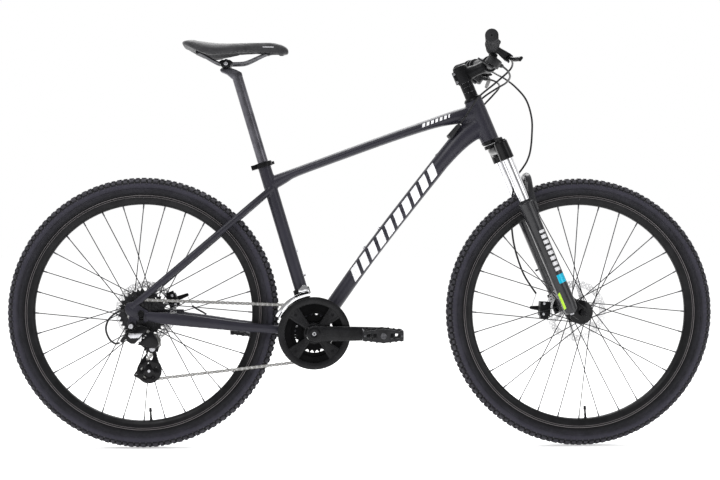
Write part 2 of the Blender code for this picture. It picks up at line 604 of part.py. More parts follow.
def make_skewers(lowers):
    """Quick-release skewers: the rod with its nut, and the cam lever on the left end."""
    for name, axle, hub_width, plate, parent in (("front", FRONT_AXLE, FRONT_HUB_WIDTH, 10, lowers),
                                                 ("rear", REAR_AXLE, REAR_HUB_WIDTH, 6.1, None)):
        edge = hub_width / 2 + plate + 0.1
        shaft = rod(axle - ACROSS * (edge + 5), axle + ACROSS * (edge + 3), 4.2, sides=10)
        nut = rod(axle - ACROSS * (edge + 12), axle - ACROSS * (edge + GAP), 7.5, 9, 12)
        head = rod(axle + ACROSS * (edge + GAP), axle + ACROSS * (edge + 7), 9, 8.5, 12)
        new_part(f"{name}_skewer", combine([shaft, nut, head]), BLACK_ALLOY, axle, parent)
        pin = axle + ACROSS * (edge + 13.5)
        direction = Vector((-0.6, 0, 0.8)) if name == "rear" else HEAD_UP
        sideways = ACROSS.cross(direction)
        cam = rod(pin - sideways * 7, pin + sideways * 7, 6, sides=12)
        outline = [(0, -4), (14, -2), (30, -5), (58, -11), (60, -6), (34, 3), (14, 6), (0, 5)]
        handle = slab(outline, -6, 6, pin, direction, ACROSS)
        new_part(f"{name}_qr_lever", combine([cam, handle]), BLACK_ALLOY, pin, parent)


# ---------------------------------------------------------------- cockpit

def bar_point(side, out):
    """The handlebar's axis at a distance out along one side, measured across the bike."""
    centre = steer(BAR_FORWARD, BAR_UP)
    bend_start, bend_end = 58, 108
    rise = BAR_RISE * min(max((out - bend_start) / (bend_end - bend_start), 0), 1)
    past = max(out - (bend_start + bend_end) / 2, 0)
    return centre + Vector((-past * tan(BACKSWEEP), side * out, rise + past * tan(UPSWEEP)))


def control_axes(side, droop):
    """Directions of the controls on one side: outward along the bar, forward and down, and up."""
    outward = (bar_point(side, 300) - bar_point(side, 200)).normalized()
    forward = Vector((cos(droop), 0, -sin(droop)))
    forward = (forward - outward * forward.dot(outward)).normalized()
    above = forward.cross(outward) * side
    return outward, forward, above.normalized()


def make_stem(steering):
    spacers = rod(steer(0, HEAD_TUBE_HALF + 7.3), steer(0, 106), 17, sides=16)
    clamp = rod(steer(0, 103), steer(0, 148), 19.5, sides=16)
    cap = rod(steer(0, 147), steer(0, 152), 18.5, 16, sides=16)
    arm = tube_along([(steer(15, 126), 17, 14), (steer(38, BAR_UP), 14, 15), (steer(60, BAR_UP), 17, 19)], 12)
    bar_clamp = rod(steer(BAR_FORWARD, BAR_UP, -22), steer(BAR_FORWARD, BAR_UP, 22), 21.5, sides=16)
    bolts = [block(steer(-20, height), (5, 11, 4.5), HEAD_FORWARD, ACROSS) for height in (114, 138)]
    bore = rod(steer(0, 60), steer(0, BAR_UP + 20.6), STEERER_RADIUS + GAP, sides=16)
    clamp_bore = rod(steer(BAR_FORWARD, BAR_UP, -40), steer(BAR_FORWARD, BAR_UP, 40), BAR_CLAMP_RADIUS + 0.6, sides=16)
    new_part("stem", combine([clamp, arm, spacers, bar_clamp, cap, *bolts], [bore, clamp_bore]),
             BLACK_ALLOY, HEAD_CENTRE, steering)


def make_bar(steering):
    stations = []
    outs = [-BAR_HALF + 2, -240, -170, -108, -95, -75, -58, -40, 40, 58, 75, 95, 108, 170, 240, BAR_HALF - 2]
    for out in outs:
        radius = BAR_CLAMP_RADIUS if abs(out) < 60 else BAR_RADIUS
        stations.append((bar_point(1 if out > 0 else -1, abs(out)), radius, radius))
    rings = []
    for i, (centre, radius, _) in enumerate(stations):
        before, after = stations[max(i - 1, 0)][0], stations[min(i + 1, len(stations) - 1)][0]
        side, up = across_axes((after - before).normalized())
        rings.append(ellipse(centre, side, up, radius, radius, 14))
    new_part("handlebar", skin(bmesh.new(), rings), BLACK_ALLOY, HEAD_CENTRE, steering)


def make_grip(side, steering):
    inner, outer = bar_point(side, BAR_HALF - GRIP_LENGTH), bar_point(side, BAR_HALF)
    axis = (outer - inner).normalized()
    length = (outer - inner).length
    sleeve = lathe([(0, BAR_RADIUS + GAP), (length + 3, BAR_RADIUS + GAP), (length + 3, GRIP_RADIUS - 2),
                    (length, GRIP_RADIUS), (8, GRIP_RADIUS - 0.5), (4, GRIP_RADIUS + 2), (0, GRIP_RADIUS + 2)],
                   inner, axis, 16)
    plug = rod(inner + axis * (length - 1), inner + axis * (length + 2.5), BAR_RADIUS + 1, sides=12)
    new_part(f"grip_{SIDE_NAMES[side]}", combine([sleeve, plug]), RUBBER, inner, steering)


def bar_bore(centre, outward):
    return rod(centre - outward * 30, centre + outward * 30, BAR_RADIUS + GAP, sides=16)


def make_brake_control(side, steering):
    """The bracket on the bar and the lever blade that it holds in its fork."""
    outward, forward, above = control_axes(side, radians(35))
    word = SIDE_NAMES[side]
    place = bar_point(side, 214)

    def at(out, ahead, up):
        return place + outward * out + forward * ahead + above * up

    clamp = rod(place - outward * 7, place + outward * 7, 16.5, sides=16)
    arm = block(at(-8, 22, 0), (11, 14, 7.5), outward, forward)
    nose = block(at(-16, 42, 0), (12, 13, 10), outward, forward)
    lever_gap = block(at(-8, 52, 0), (17, 17, 5), outward, forward)
    bracket = combine([clamp, arm, nose], [bar_bore(place, outward), lever_gap])
    new_part(f"brake_bracket_{word}", bracket, BLACK_ALLOY, place, steering)

    hinge = at(-16, 46, 0)
    eye = rod(hinge - above * 4.2, hinge + above * 4.2, 6, sides=12)
    blade = [(0, -4), (10, -1), (24, 8), (60, 20), (100, 30), (112, 33), (113, 40), (98, 38),
             (60, 30), (22, 19), (4, 8), (-5, 3)]
    lever = slab(blade, -4.2, 4.2, hinge, outward, forward)
    new_part(f"brake_lever_{word}", combine([eye, lever]), BLACK_ALLOY, hinge, steering)


def make_shifter(side, steering):
    """The shifter's pod under the bar, its gear window above and its thumb lever."""
    outward, forward, above = control_axes(side, radians(34))
    word = SIDE_NAMES[side]
    place = bar_point(side, 182)

    def at(out, ahead, up):
        return place + outward * out + forward * ahead + above * up

    clamp = rod(place - outward * 6, place + outward * 6, 16.5, sides=16)
    neck = block(at(0, 12, -15), (6, 9, 7), outward, forward)
    outline = [(-20, 4), (13, 4), (18, 18), (14, 36), (-10, 40), (-22, 28)]
    pod = slab(outline, -10, 10, at(0, 0, -27), outward, forward)
    window = block(at(-4, -3, 20), (12, 12, 5.5), outward, forward)
    shifter = combine([clamp, neck, pod, window], [bar_bore(place, outward)])
    new_part(f"shifter_{word}", shifter, BLACK_PLASTIC, place, steering)

    pin = at(-2, 22, -40.5)
    disc = rod(pin - above * 2.5, pin + above * 3.2, 8, sides=12)
    paddle = block(pin + outward * 4 - forward * 20 - above * 0.5, (7, 18, 2), outward, forward)
    new_part(f"shift_lever_{word}", combine([disc, paddle]), BLACK_PLASTIC, pin, steering)


# ---------------------------------------------------------------- drivetrain

def tangent(first, second):
    """The directed line that leaves one (centre, signed radius) circle and meets the next."""
    (c1, r1), (c2, r2) = first, second
    gap = c2 - c1
    angle = atan2(gap.z, gap.x) - asin((r2 - r1) / hypot(gap.x, gap.z))
    normal = Vector((-sin(angle), 0, cos(angle)))
    return c1 - normal * r1, c2 - normal * r2, normal


def chain_path():
    """The chain's loop as (point, left normal): over the top, round the cog, both jockeys and the ring."""
    circles = [(BOTTOM_BRACKET, pitch_radius(CHAINRINGS[1][0])), (REAR_AXLE, pitch_radius(COGS[COG_ON])),
               (UPPER_JOCKEY - ACROSS * CHAIN_Y, -pitch_radius(JOCKEY_TEETH)),
               (LOWER_JOCKEY - ACROSS * CHAIN_Y, pitch_radius(JOCKEY_TEETH))]
    lines = [tangent(circles[i], circles[(i + 1) % 4]) for i in range(4)]
    path = []
    for i in range(4):
        centre, radius = circles[(i + 1) % 4]
        start, end = lines[i][2], lines[(i + 1) % 4][2]
        turn = atan2(end.z, end.x) - atan2(start.z, start.x)
        turn = turn % (2 * pi) if radius > 0 else -((-turn) % (2 * pi))
        steps = max(3, ceil(abs(degrees(turn)) / 11))
        for k in range(steps + 1):
            angle = atan2(start.z, start.x) + turn * k / steps
            normal = Vector((cos(angle), 0, sin(angle)))
            path.append((centre - normal * radius, normal))
    return path


def make_chain():
    rings = []
    low, high = CHAIN_Y - CHAIN_HALF_WIDTH, CHAIN_Y + CHAIN_HALF_WIDTH
    for point, normal in chain_path():
        outer, inner = point - normal * CHAIN_HALF_DEPTH, point + normal * CHAIN_HALF_DEPTH
        rings.append([outer + ACROSS * low, inner + ACROSS * low, inner + ACROSS * high, outer + ACROSS * high])
    new_part("chain", skin(bmesh.new(), rings, closed=True), CHAIN_STEEL, BOTTOM_BRACKET)


def root_radius(teeth):
    return pitch_radius(teeth) - CHAIN_HALF_DEPTH - 0.8


def make_cassette():
    """Eight cogs as steps, each a little below its teeth's roots."""
    first_y = CHAIN_Y - COG_ON * COG_STEP
    starts = [first_y + COG_STEP * k - 1 for k in range(len(COGS))]
    stops = starts[1:] + [starts[-1] + 2]
    profile = []
    for teeth, start, stop in zip(COGS, starts, stops):
        profile += [(start, root_radius(teeth)), (stop, root_radius(teeth))]
    profile = [(starts[0], 16.1)] + profile + [(stops[-1], 16.1)]
    new_part("cassette", lathe(profile, REAR_AXLE, ACROSS, 18), STEEL, REAR_AXLE)


def make_cranks():
    cranks = pivot("crankset", BOTTOM_BRACKET)
    spindle = rod(BOTTOM_BRACKET - ACROSS * 72, BOTTOM_BRACKET + ACROSS * 72, 8, sides=12)
    new_part("crank_spindle", spindle, STEEL, BOTTOM_BRACKET, cranks)
    edge, lip = SHELL_HALF + GAP, SHELL_HALF + 3
    cartridge = lathe([(-lip, 8.6), (lip, 8.6), (lip, 20), (edge, 20), (edge, 17), (-edge, 17),
                       (-edge, 20), (-lip, 20)], BOTTOM_BRACKET, ACROSS, 16)
    new_part("bottom_bracket", cartridge, BLACK_ALLOY, BOTTOM_BRACKET)

    discs = [ring(BOTTOM_BRACKET, ACROSS, 22.4, 29, CHAINRINGS[2][1] - 0.6, CHAINRINGS[0][1] + 0.6, 16)]
    for (teeth, y), inner in zip(CHAINRINGS, (26, 47, 58)):
        discs.append(ring(BOTTOM_BRACKET, ACROSS, inner, root_radius(teeth), y - 1, y + 1, 24))
    webs = [block(BOTTOM_BRACKET + Vector((cos(t), 0, sin(t))) * 43 + ACROSS * (CHAIN_Y - 3.5), (17.5, 4, 6),
                  Vector((cos(t), 0, sin(t))), ACROSS) for t in (pi / 4 + k * pi / 2 for k in range(4))]
    new_part("chainrings", combine([*discs, gathered(webs)]), BLACK_ALLOY, BOTTOM_BRACKET, cranks)

    guard = ring(BOTTOM_BRACKET, ACROSS, GUARD_RADIUS - 20, GUARD_RADIUS, GUARD_Y - 1.5, GUARD_Y + 1.5, 28)
    new_part("chain_guard", combine([guard, guard_arms()]), BLACK_PLASTIC, BOTTOM_BRACKET, cranks)

    for side in (-1, 1):
        crank_arm(side, cranks)
        make_pedal(side, cranks)


def guard_arms():
    """Four arms that widen towards the guard's ring, from an open centre."""
    arms = []
    for k in range(4):
        turn = pi / 4 + k * pi / 2
        out = Vector((cos(turn), 0, sin(turn)))
        outline = [(23, -14), (23, 14), (50, 8), (76, 12), (76, -12), (50, -8)]
        arms.append(slab(outline, GUARD_Y - 1.4, GUARD_Y + 1.4, BOTTOM_BRACKET, out, out.cross(ACROSS)))
    centre = ring(BOTTOM_BRACKET, ACROSS, 22, 31, GUARD_Y - 1.3, GUARD_Y + 1.3, 16)
    return combine([centre, gathered(arms)])


def crank_arm(side, cranks):
    """A tapered arm with a round boss on the spindle and a pedal eye; the drive side's points forward."""
    forward = Vector((-side, 0, 0))
    low, high = sorted((side * CRANK_FACE_Y, side * (CRANK_FACE_Y + 13)))
    outline = [(0, -19.5), (60, -19), (130, -17.5), (CRANK_LENGTH, -16.5), (CRANK_LENGTH + 11, -11),
               (CRANK_LENGTH + 15.5, 0), (CRANK_LENGTH + 11, 11), (CRANK_LENGTH, 16.5), (130, 17.5), (60, 19), (0, 19.5)]
    arm = slab(outline, low, high, BOTTOM_BRACKET, forward, Vector((0, 0, 1)))
    boss_start, boss_end = sorted((side * 40, side * (CRANK_FACE_Y + 14)))
    if side < 0:
        boss_end = -38.5
    boss = rod(BOTTOM_BRACKET + ACROSS * boss_start, BOTTOM_BRACKET + ACROSS * boss_end, 20.5, sides=16)
    socket = rod(BOTTOM_BRACKET - ACROSS * 73, BOTTOM_BRACKET + ACROSS * 73, 8.4, sides=12)
    eye = BOTTOM_BRACKET + forward * CRANK_LENGTH
    axle = rod(eye + ACROSS * side * (CRANK_FACE_Y + 10), eye + ACROSS * side * (CRANK_FACE_Y + 104), 5.5, sides=10)
    new_part(f"crank_{SIDE_NAMES[side]}", combine([boss, arm, axle], [socket]), BLACK_ALLOY, BOTTOM_BRACKET, cranks)


def make_pedal(side, cranks):
    """A platform pedal: an open cage round a central barrel that turns on the crank's axle."""
    eye = BOTTOM_BRACKET + Vector((-side * CRANK_LENGTH, 0, 0))
    near, far = CRANK_FACE_Y + 16, CRANK_FACE_Y + 108
    middle = side * (near + far) / 2
    half = (far - near) / 2
    centre = eye + ACROSS * middle
    barrel = rod(eye + ACROSS * side * near, eye + ACROSS * side * far, 13.5, sides=14)
    sides = [block(centre + Vector((x, 0, 0)), (3.5, half - 4, 12)) for x in (-46.5, 46.5)]
    end = [(-46, -10), (-22, -13), (-8, -16), (8, -16), (22, -13), (46, -10),
           (46, 10), (22, 13), (8, 16), (-8, 16), (-22, 13), (-46, 10)]
    walls = [slab(end, y - 4, y + 4, centre) for y in (-half + 4, half - 4)]
    ribs = [block(centre + Vector((x, 0, 0)), (2.5, half - 6, 9)) for x in (-25, 25)]
    bore = rod(eye + ACROSS * side * (near - 5), eye + ACROSS * side * (CRANK_FACE_Y + 105), 5.5 + GAP, sides=12)
    new_part(f"pedal_{SIDE_NAMES[side]}", combine([barrel, *walls, *sides, *ribs], [bore]), BLACK_PLASTIC, eye, cranks)


def make_rear_derailleur():
    """Body on the hanger, a swinging link, the knuckle under it, the cage and its two jockey wheels."""
    body_axis = HANGER + ACROSS * -80
    body = rod(HANGER + ACROSS * -73.6, HANGER + ACROSS * -92, 10, sides=14)
    shoulder = slab([(-6, -8), (9, -12), (22, -22), (18, -32), (4, -30), (-10, -12)], -91, -75, HANGER)
    adjuster = rod(Vector((-596, -84, 298)), Vector((-612, -84, 276)), 4.5, 4, 10)
    lug = block(Vector((-594, -84, 301)), (7, 6, 6))
    new_part("derailleur_body", combine([body, shoulder, lug, adjuster]), BLACK_ALLOY, body_axis)

    link_pin = Vector((-567.5, -83, 282.5))
    lower_pin = Vector((-541, -72, 258))
    along = (lower_pin - link_pin).normalized()
    plate = block((link_pin + lower_pin) / 2 + along, ((lower_pin - link_pin).length / 2 - 3.5, 5, 7), along,
                  (ACROSS - along * along.y).normalized())
    new_part("derailleur_link", plate, STEEL, link_pin)

    cage_axis = Vector((-536, 0, 258))
    knuckle = rod(cage_axis + ACROSS * -64, cage_axis + ACROSS * -58.3, 12, sides=14)
    heel = block(Vector((-530, -61.2, 259)), (9, 2.6, 9))
    new_part("derailleur_knuckle", combine([knuckle, heel]), BLACK_ALLOY, lower_pin)

    (x0, z0), (x1, z1) = [(jockey.x, jockey.z) for jockey in (UPPER_JOCKEY, LOWER_JOCKEY)]
    outline = [(x0 - 9, z0), (x0 - 4, z0 + 9), (x0 + 6, z0 + 9), (x0 + 11, z0), (x0 + 12, z0 - 18),
               (x1 + 24, z1 + 22), (x1 + 31, z1 + 6), (x1 + 29, z1 - 14), (x1 + 16, z1 - 28), (x1 - 3, z1 - 32),
               (x1 - 20, z1 - 26), (x1 - 37, z1 - 13), (x1 - 37, z1 - 7), (x1 - 30, z1 + 3), (x1 - 25, z1 + 19),
               (x0 - 11, z0 - 26)]
    plates = [slab(outline, low, low + 1.8) for low in (-57.8, -42.5)]
    pins = [rod(jockey + ACROSS * -8, jockey + ACROSS * 7.5, 4, sides=10) for jockey in (UPPER_JOCKEY, LOWER_JOCKEY)]
    new_part("derailleur_cage", combine([plates[0], *pins, plates[1]]), BLACK_ALLOY, cage_axis + ACROSS * CHAIN_Y)
    for name, jockey in (("upper", UPPER_JOCKEY), ("lower", LOWER_JOCKEY)):
        wheel = ring(jockey, ACROSS, 4.4, root_radius(JOCKEY_TEETH), -1.3, 1.3, 16)
        new_part(f"jockey_{name}", wheel, BLACK_PLASTIC, jockey)


def make_front_derailleur():
    """A band on the seat tube, and the cage that the chain runs through."""
    height = 108
    band = ring(seat(0, height), SEAT_UP, SEAT_TUBE_RADIUS + GAP, 21.5, -9, 9, 20)
    arm = block(seat(6, height, -26), (13, 9, 8), SEAT_FORWARD, ACROSS)
    new_part("front_derailleur_clamp", combine([band, arm]), BLACK_ALLOY)

    def sector(inner, outer, low, high, start, stop):
        outline = []
        for radius, turns in ((inner, range(start, stop + 1, 10)), (outer, range(stop, start - 1, -10))):
            outline += [(radius * cos(radians(t)), radius * sin(radians(t))) for t in turns]
        return slab(outline, low, high, BOTTOM_BRACKET)

    plates = [sector(96, 107.5, -57, -55.4, 96, 156), sector(88, 107.5, -42.4, -40.8, 96, 156)]
    top_bridge = sector(102, 107.5, -57, -40.8, 98, 118)
    tail_bridge = sector(97, 101, -57, -40.8, 146, 156)
    yoke = block(BOTTOM_BRACKET + Vector((-26, -40.6, 113)), (12, 4.2, 10))
    hinge = BOTTOM_BRACKET + Vector((-26, -42, 124))
    cage = combine([plates[0], top_bridge, plates[1], tail_bridge, yoke])
    new_part("front_derailleur_cage", cage, STEEL, hinge)


# ---------------------------------------------------------------- cables

def make_cables():
    new_cable("front_brake_cable",
              [(348, 181, 992.5), (357, 150, 987), (366, 105, 974), (378, 62, 960), (402, 28, 934), (427, 6, 898),
               (440, -2, 850), (440.5, -2, 804), (437, 2, 765), (430, 10, 740), (420, 18, 722), (408, 26, 703),
               (399, 36, 670), (394, 42, 636), (393, 46, 600), (396, 53, 565), (402, 62, 528), (413, 70, 488),
               (430, 73, 444), (447, 71, 415), (463, 68, 391.5)])
    new_cable("rear_brake_cable",
              [(348, -181, 992.5), (362, -150, 989), (376, -100, 980), (372, -66, 966), (340, -48, 937),
               (298, -40, 902), (274, -33, 866), (260, -28.3, 845), (252, -25.7, 834.8)])
    new_cable("rear_shift_cable",
              [(344, -148, 968), (362, -120, 958), (372, -80, 948), (368, -36, 938), (350, 2, 928), (322, 32, 910),
               (295, 40, 885), (273, 33, 861), (260, 28.3, 845), (252, 25.7, 834.8)])
    new_cable("front_shift_cable",
              [(344, 148, 968), (365, 124, 957), (368, 94, 940), (348, 70, 916), (322, 56, 889), (296, 48, 860),
               (268, 42, 826), (243, 36, 799), (224.3, 28.2, 780.4)])
    new_cable("rear_brake_tail",
              [(-445, 80, 361), (-438, 79.3, 355.5), (-427, 76, 349.5), (-415, 68, 343.5), (-408, 60, 339.7)])
    new_cable("rear_shift_loop",
              [(-606, -76, 356), (-625, -80, 350), (-644, -83, 332), (-650, -84, 308), (-641, -84, 284),
               (-627, -84, 273), (-615.5, -84, 274.5)])


def main():
    make_frame()
    make_seat_collar()
    make_seatpost_and_saddle()
    make_wheels()
    steering, lowers = make_fork()
    make_brakes(lowers)
    make_skewers(lowers)
    make_stem(steering)
    make_bar(steering)
    for side in (-1, 1):
        make_grip(side, steering)
        make_brake_control(side, steering)
        make_shifter(side, steering)
    make_chain()
    make_cassette()
    make_cranks()
    make_rear_derailleur()
    make_front_derailleur()
    make_cables()


main()
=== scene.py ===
"""The looks of a hardtail mountain bike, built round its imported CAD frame.

+X is forward, +Z is up and the drive side is at -Y. Shapes are written in millimetres, and
piece() turns them into metres. A hand of -1 is the rider's right, which is the drive side.
"""
from math import asin, atan2, ceil, cos, degrees, hypot, pi, radians, sin, tan

import bmesh
import bpy
from mathutils import Matrix, Vector


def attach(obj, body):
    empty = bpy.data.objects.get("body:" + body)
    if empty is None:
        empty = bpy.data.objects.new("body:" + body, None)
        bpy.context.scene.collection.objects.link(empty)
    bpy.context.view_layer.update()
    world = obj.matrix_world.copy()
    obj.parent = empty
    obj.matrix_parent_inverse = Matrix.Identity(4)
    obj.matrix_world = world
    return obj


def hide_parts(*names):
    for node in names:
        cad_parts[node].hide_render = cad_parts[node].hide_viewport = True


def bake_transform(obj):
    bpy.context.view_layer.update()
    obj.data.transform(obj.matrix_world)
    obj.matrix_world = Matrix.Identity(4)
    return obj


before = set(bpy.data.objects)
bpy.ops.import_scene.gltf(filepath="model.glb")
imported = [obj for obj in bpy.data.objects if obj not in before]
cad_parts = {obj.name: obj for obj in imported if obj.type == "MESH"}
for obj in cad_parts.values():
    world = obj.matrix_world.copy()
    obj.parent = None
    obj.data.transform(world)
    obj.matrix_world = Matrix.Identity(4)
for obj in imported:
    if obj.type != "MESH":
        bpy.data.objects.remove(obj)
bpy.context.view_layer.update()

MM = 0.001
ACROSS = Vector((0, 1, 0))
UP = Vector((0, 0, 1))
REAR_AXLE, FRONT_AXLE = Vector((-563, 0, 347)), Vector((563, 0, 347))
BOTTOM_BRACKET = Vector((-126, 0, 296))
SEAT_ANGLE, HEAD_ANGLE = radians(73.3), radians(67)
HEAD_CENTRE = Vector((309.5, 0, 844))
HEAD_UP = Vector((-cos(HEAD_ANGLE), 0, sin(HEAD_ANGLE)))
HEAD_FORWARD = Vector((sin(HEAD_ANGLE), 0, cos(HEAD_ANGLE)))
SEAT_UP = Vector((-cos(SEAT_ANGLE), 0, sin(SEAT_ANGLE)))
SEAT_FORWARD = Vector((sin(SEAT_ANGLE), 0, cos(SEAT_ANGLE)))
SEAT_TUBE_TOP, HEAD_TUBE_HALF = 458, 57.5
BAR_FORWARD, BAR_UP, BAR_RISE = 74, 126, 17
BACKSWEEP, UPSWEEP = radians(8), radians(2)
LEG_FORWARD, LEG_Y = 13, 65
FRONT_ROTOR_Y, REAR_ROTOR_Y = 40, 52.2
MARKED_Y = 11.0
HANDS = {-1: "right", 1: "left"}


def steer(forward, up, y=0.0):
    """A point given forward of the steering axis and up along it."""
    return HEAD_CENTRE + HEAD_FORWARD * forward + HEAD_UP * up + ACROSS * y


def leg(side, up):
    """A point on the axis of a fork leg."""
    return steer(LEG_FORWARD, up, side * LEG_Y)


def seat(forward, up, y=0.0):
    """A point given forward of the seat tube's axis and up along it."""
    return BOTTOM_BRACKET + SEAT_FORWARD * forward + SEAT_UP * up + ACROSS * y


# ---------------------------------------------------------------- materials

class Nodes:
    """A small hand for wiring a Principled material."""

    def __init__(self, name, roughness, metallic=0.0, **sockets):
        self.material = bpy.data.materials.new(name)
        self.material.use_nodes = True
        self.tree = self.material.node_tree
        self.shader = self.tree.nodes["Principled BSDF"]
        self.shader.inputs["Roughness"].default_value = roughness
        self.shader.inputs["Metallic"].default_value = metallic
        for socket, value in sockets.items():
            self.shader.inputs[socket.replace("_", " ")].default_value = value
        self.place = self.add("ShaderNodeTexCoord").outputs["Object"]

    def add(self, kind, **values):
        node = self.tree.nodes.new(kind)
        for key, value in values.items():
            if key.startswith("in_"):
                node.inputs[int(key[3:])].default_value = value
            else:
                setattr(node, key, value)
        return node

    def link(self, output, target):
        self.tree.links.new(output, target)
        return target

    def noise(self, scale, detail=4.0, roughness=0.55, place=None):
        node = self.add("ShaderNodeTexNoise")
        node.inputs["Scale"].default_value = scale
        node.inputs["Detail"].default_value = detail
        node.inputs["Roughness"].default_value = roughness
        self.link(place or self.place, node.inputs["Vector"])
        return node.outputs["Fac"]

    def stretched(self, scale):
        node = self.add("ShaderNodeMapping")
        node.inputs["Scale"].default_value = scale
        self.link(self.place, node.inputs["Vector"])
        return node.outputs["Vector"]

    def voronoi(self, scale, place=None, feature="F1"):
        node = self.add("ShaderNodeTexVoronoi", feature=feature)
        node.inputs["Scale"].default_value = scale
        self.link(place or self.place, node.inputs["Vector"])
        return node.outputs["Distance"]

    def spread(self, value, low, high, out_low=0.0, out_high=1.0):
        node = self.add("ShaderNodeMapRange", in_1=low, in_2=high, in_3=out_low, in_4=out_high)
        self.link(value, node.inputs[0])
        return node.outputs[0]

    def math(self, operation, a, b=None):
        node = self.add("ShaderNodeMath", operation=operation)
        for index, value in enumerate((a, b)):
            if value is None:
                continue
            if isinstance(value, (int, float)):
                node.inputs[index].default_value = value
            else:
                self.link(value, node.inputs[index])
        return node.outputs[0]

    def times(self, a, b):
        return self.math("MULTIPLY", a, b)

    def mix(self, factor, first, second):
        node = self.add("ShaderNodeMix", data_type="RGBA")
        if isinstance(factor, (int, float)):
            node.inputs[0].default_value = factor
        else:
            self.link(factor, node.inputs[0])
        for index, value in ((6, first), (7, second)):
            if isinstance(value, tuple):
                node.inputs[index].default_value = (*value, 1)
            else:
                self.link(value, node.inputs[index])
        return node.outputs[2]

    def colour(self, value):
        self.link(value, self.shader.inputs["Base Color"])

    def rough(self, value):
        self.link(value, self.shader.inputs["Roughness"])

    def bump(self, height, strength, distance=0.0005):
        node = self.add("ShaderNodeBump")
        node.inputs["Strength"].default_value = strength
        node.inputs["Distance"].default_value = distance
        self.link(height, node.inputs["Height"])
        self.link(node.outputs["Normal"], self.shader.inputs["Normal"])

    def position(self):
        """The point's X, Y and Z in millimetres."""
        node = self.add("ShaderNodeSeparateXYZ")
        self.link(self.place, node.inputs[0])
        return [self.times(output, 1000) for output in node.outputs]

    def wheel_radius(self):
        """Distance in millimetres from the nearer wheel's axle."""
        x, _, z = self.position()
        out = self.math("SUBTRACT", self.math("ABSOLUTE", x), FRONT_AXLE.x)
        rise = self.math("SUBTRACT", z, FRONT_AXLE.z)
        total = self.math("ADD", self.times(out, out), self.times(rise, rise))
        return self.math("SQRT", total)

    def between(self, value, low, high):
        return self.times(self.math("GREATER_THAN", value, low),
                          self.math("LESS_THAN", value, high))

    def outside(self, value, limit):
        return self.math("GREATER_THAN", self.math("ABSOLUTE", value), limit)

    def along(self, x, z, origin, direction):
        """Distance in millimetres along a direction of the centre plane, from an origin."""
        across = self.times(self.math("SUBTRACT", x, origin[0]), direction[0])
        rise = self.times(self.math("SUBTRACT", z, origin[1]), direction[1])
        return self.math("ADD", across, rise)


def varied(name, dark, light, roughness, metallic=0.0, scale=40, grain=900, bump=0.15, spread=0.12,
           **sockets):
    """Two close colours clouded together, with a fine grain in the surface."""
    n = Nodes(name, roughness, metallic, **sockets)
    cloud = n.noise(scale)
    n.colour(n.mix(n.spread(cloud, 0.35, 0.65), dark, light))
    n.rough(n.spread(n.noise(scale * 2.3), 0.3, 0.7, roughness - spread / 2,
                     roughness + spread / 2))
    n.bump(n.noise(grain, 2), bump, 0.0004)
    return n.material


def brushed(name, dark, light, roughness, stretch, metallic=1.0, bump=0.12):
    """Metal with fine lines drawn one way."""
    n = Nodes(name, roughness, metallic)
    lines = n.noise(1, 3, 0.6, n.stretched(stretch))
    n.colour(n.mix(n.spread(lines, 0.35, 0.65), dark, light))
    n.rough(n.spread(lines, 0.3, 0.7, roughness - 0.08, roughness + 0.1))
    n.bump(lines, bump, 0.0003)
    return n.material


def frame_paint():
    """Satin charcoal with a violet cast; plain slanted blocks on the down and top tubes."""
    n = Nodes("frame_paint", 0.38, 0.1, Specular_IOR_Level=0.3, Coat_Weight=0.1, Coat_Roughness=0.3)
    base = n.mix(n.spread(n.noise(9, 3), 0.35, 0.65), (0.0125, 0.0118, 0.019),
                 (0.018, 0.017, 0.027))
    fleck = n.spread(n.noise(2600, 1), 0.58, 0.72)
    base = n.mix(n.times(fleck, 0.3), base, (0.07, 0.066, 0.085))
    x, y, z = n.position()

    def blocks(origin, direction, start, stop, pitch, duty, half_height, slant):
        length = n.along(x, z, origin, direction)
        height = n.along(x, z, origin, (-direction[1], direction[0]))
        leaned = n.math("ADD", length, n.times(height, -slant))
        step = n.math("FRACT", n.math("DIVIDE", n.math("SUBTRACT", leaned, start), pitch))
        mask = n.times(n.math("LESS_THAN", step, duty), n.between(leaned, start, stop))
        return n.times(mask, n.math("LESS_THAN", n.math("ABSOLUTE", height), half_height))

    down = blocks((25.6, 507.6), (0.6077, 0.7943), -84, 276, 36, 0.68, 14.5, 0.62)
    top = blocks((-45.6, 755.8), (0.9392, 0.3434), 212, 288, 12, 0.62, 4.2, 0.5)
    mark = n.times(n.math("MAXIMUM", down, top), n.outside(y, MARKED_Y))
    n.colour(n.mix(mark, base, (0.9, 0.9, 0.92)))
    n.rough(n.spread(n.noise(30), 0.3, 0.7, 0.36, 0.46))
    n.bump(n.noise(1500, 2), 0.06, 0.0003)
    return n.material


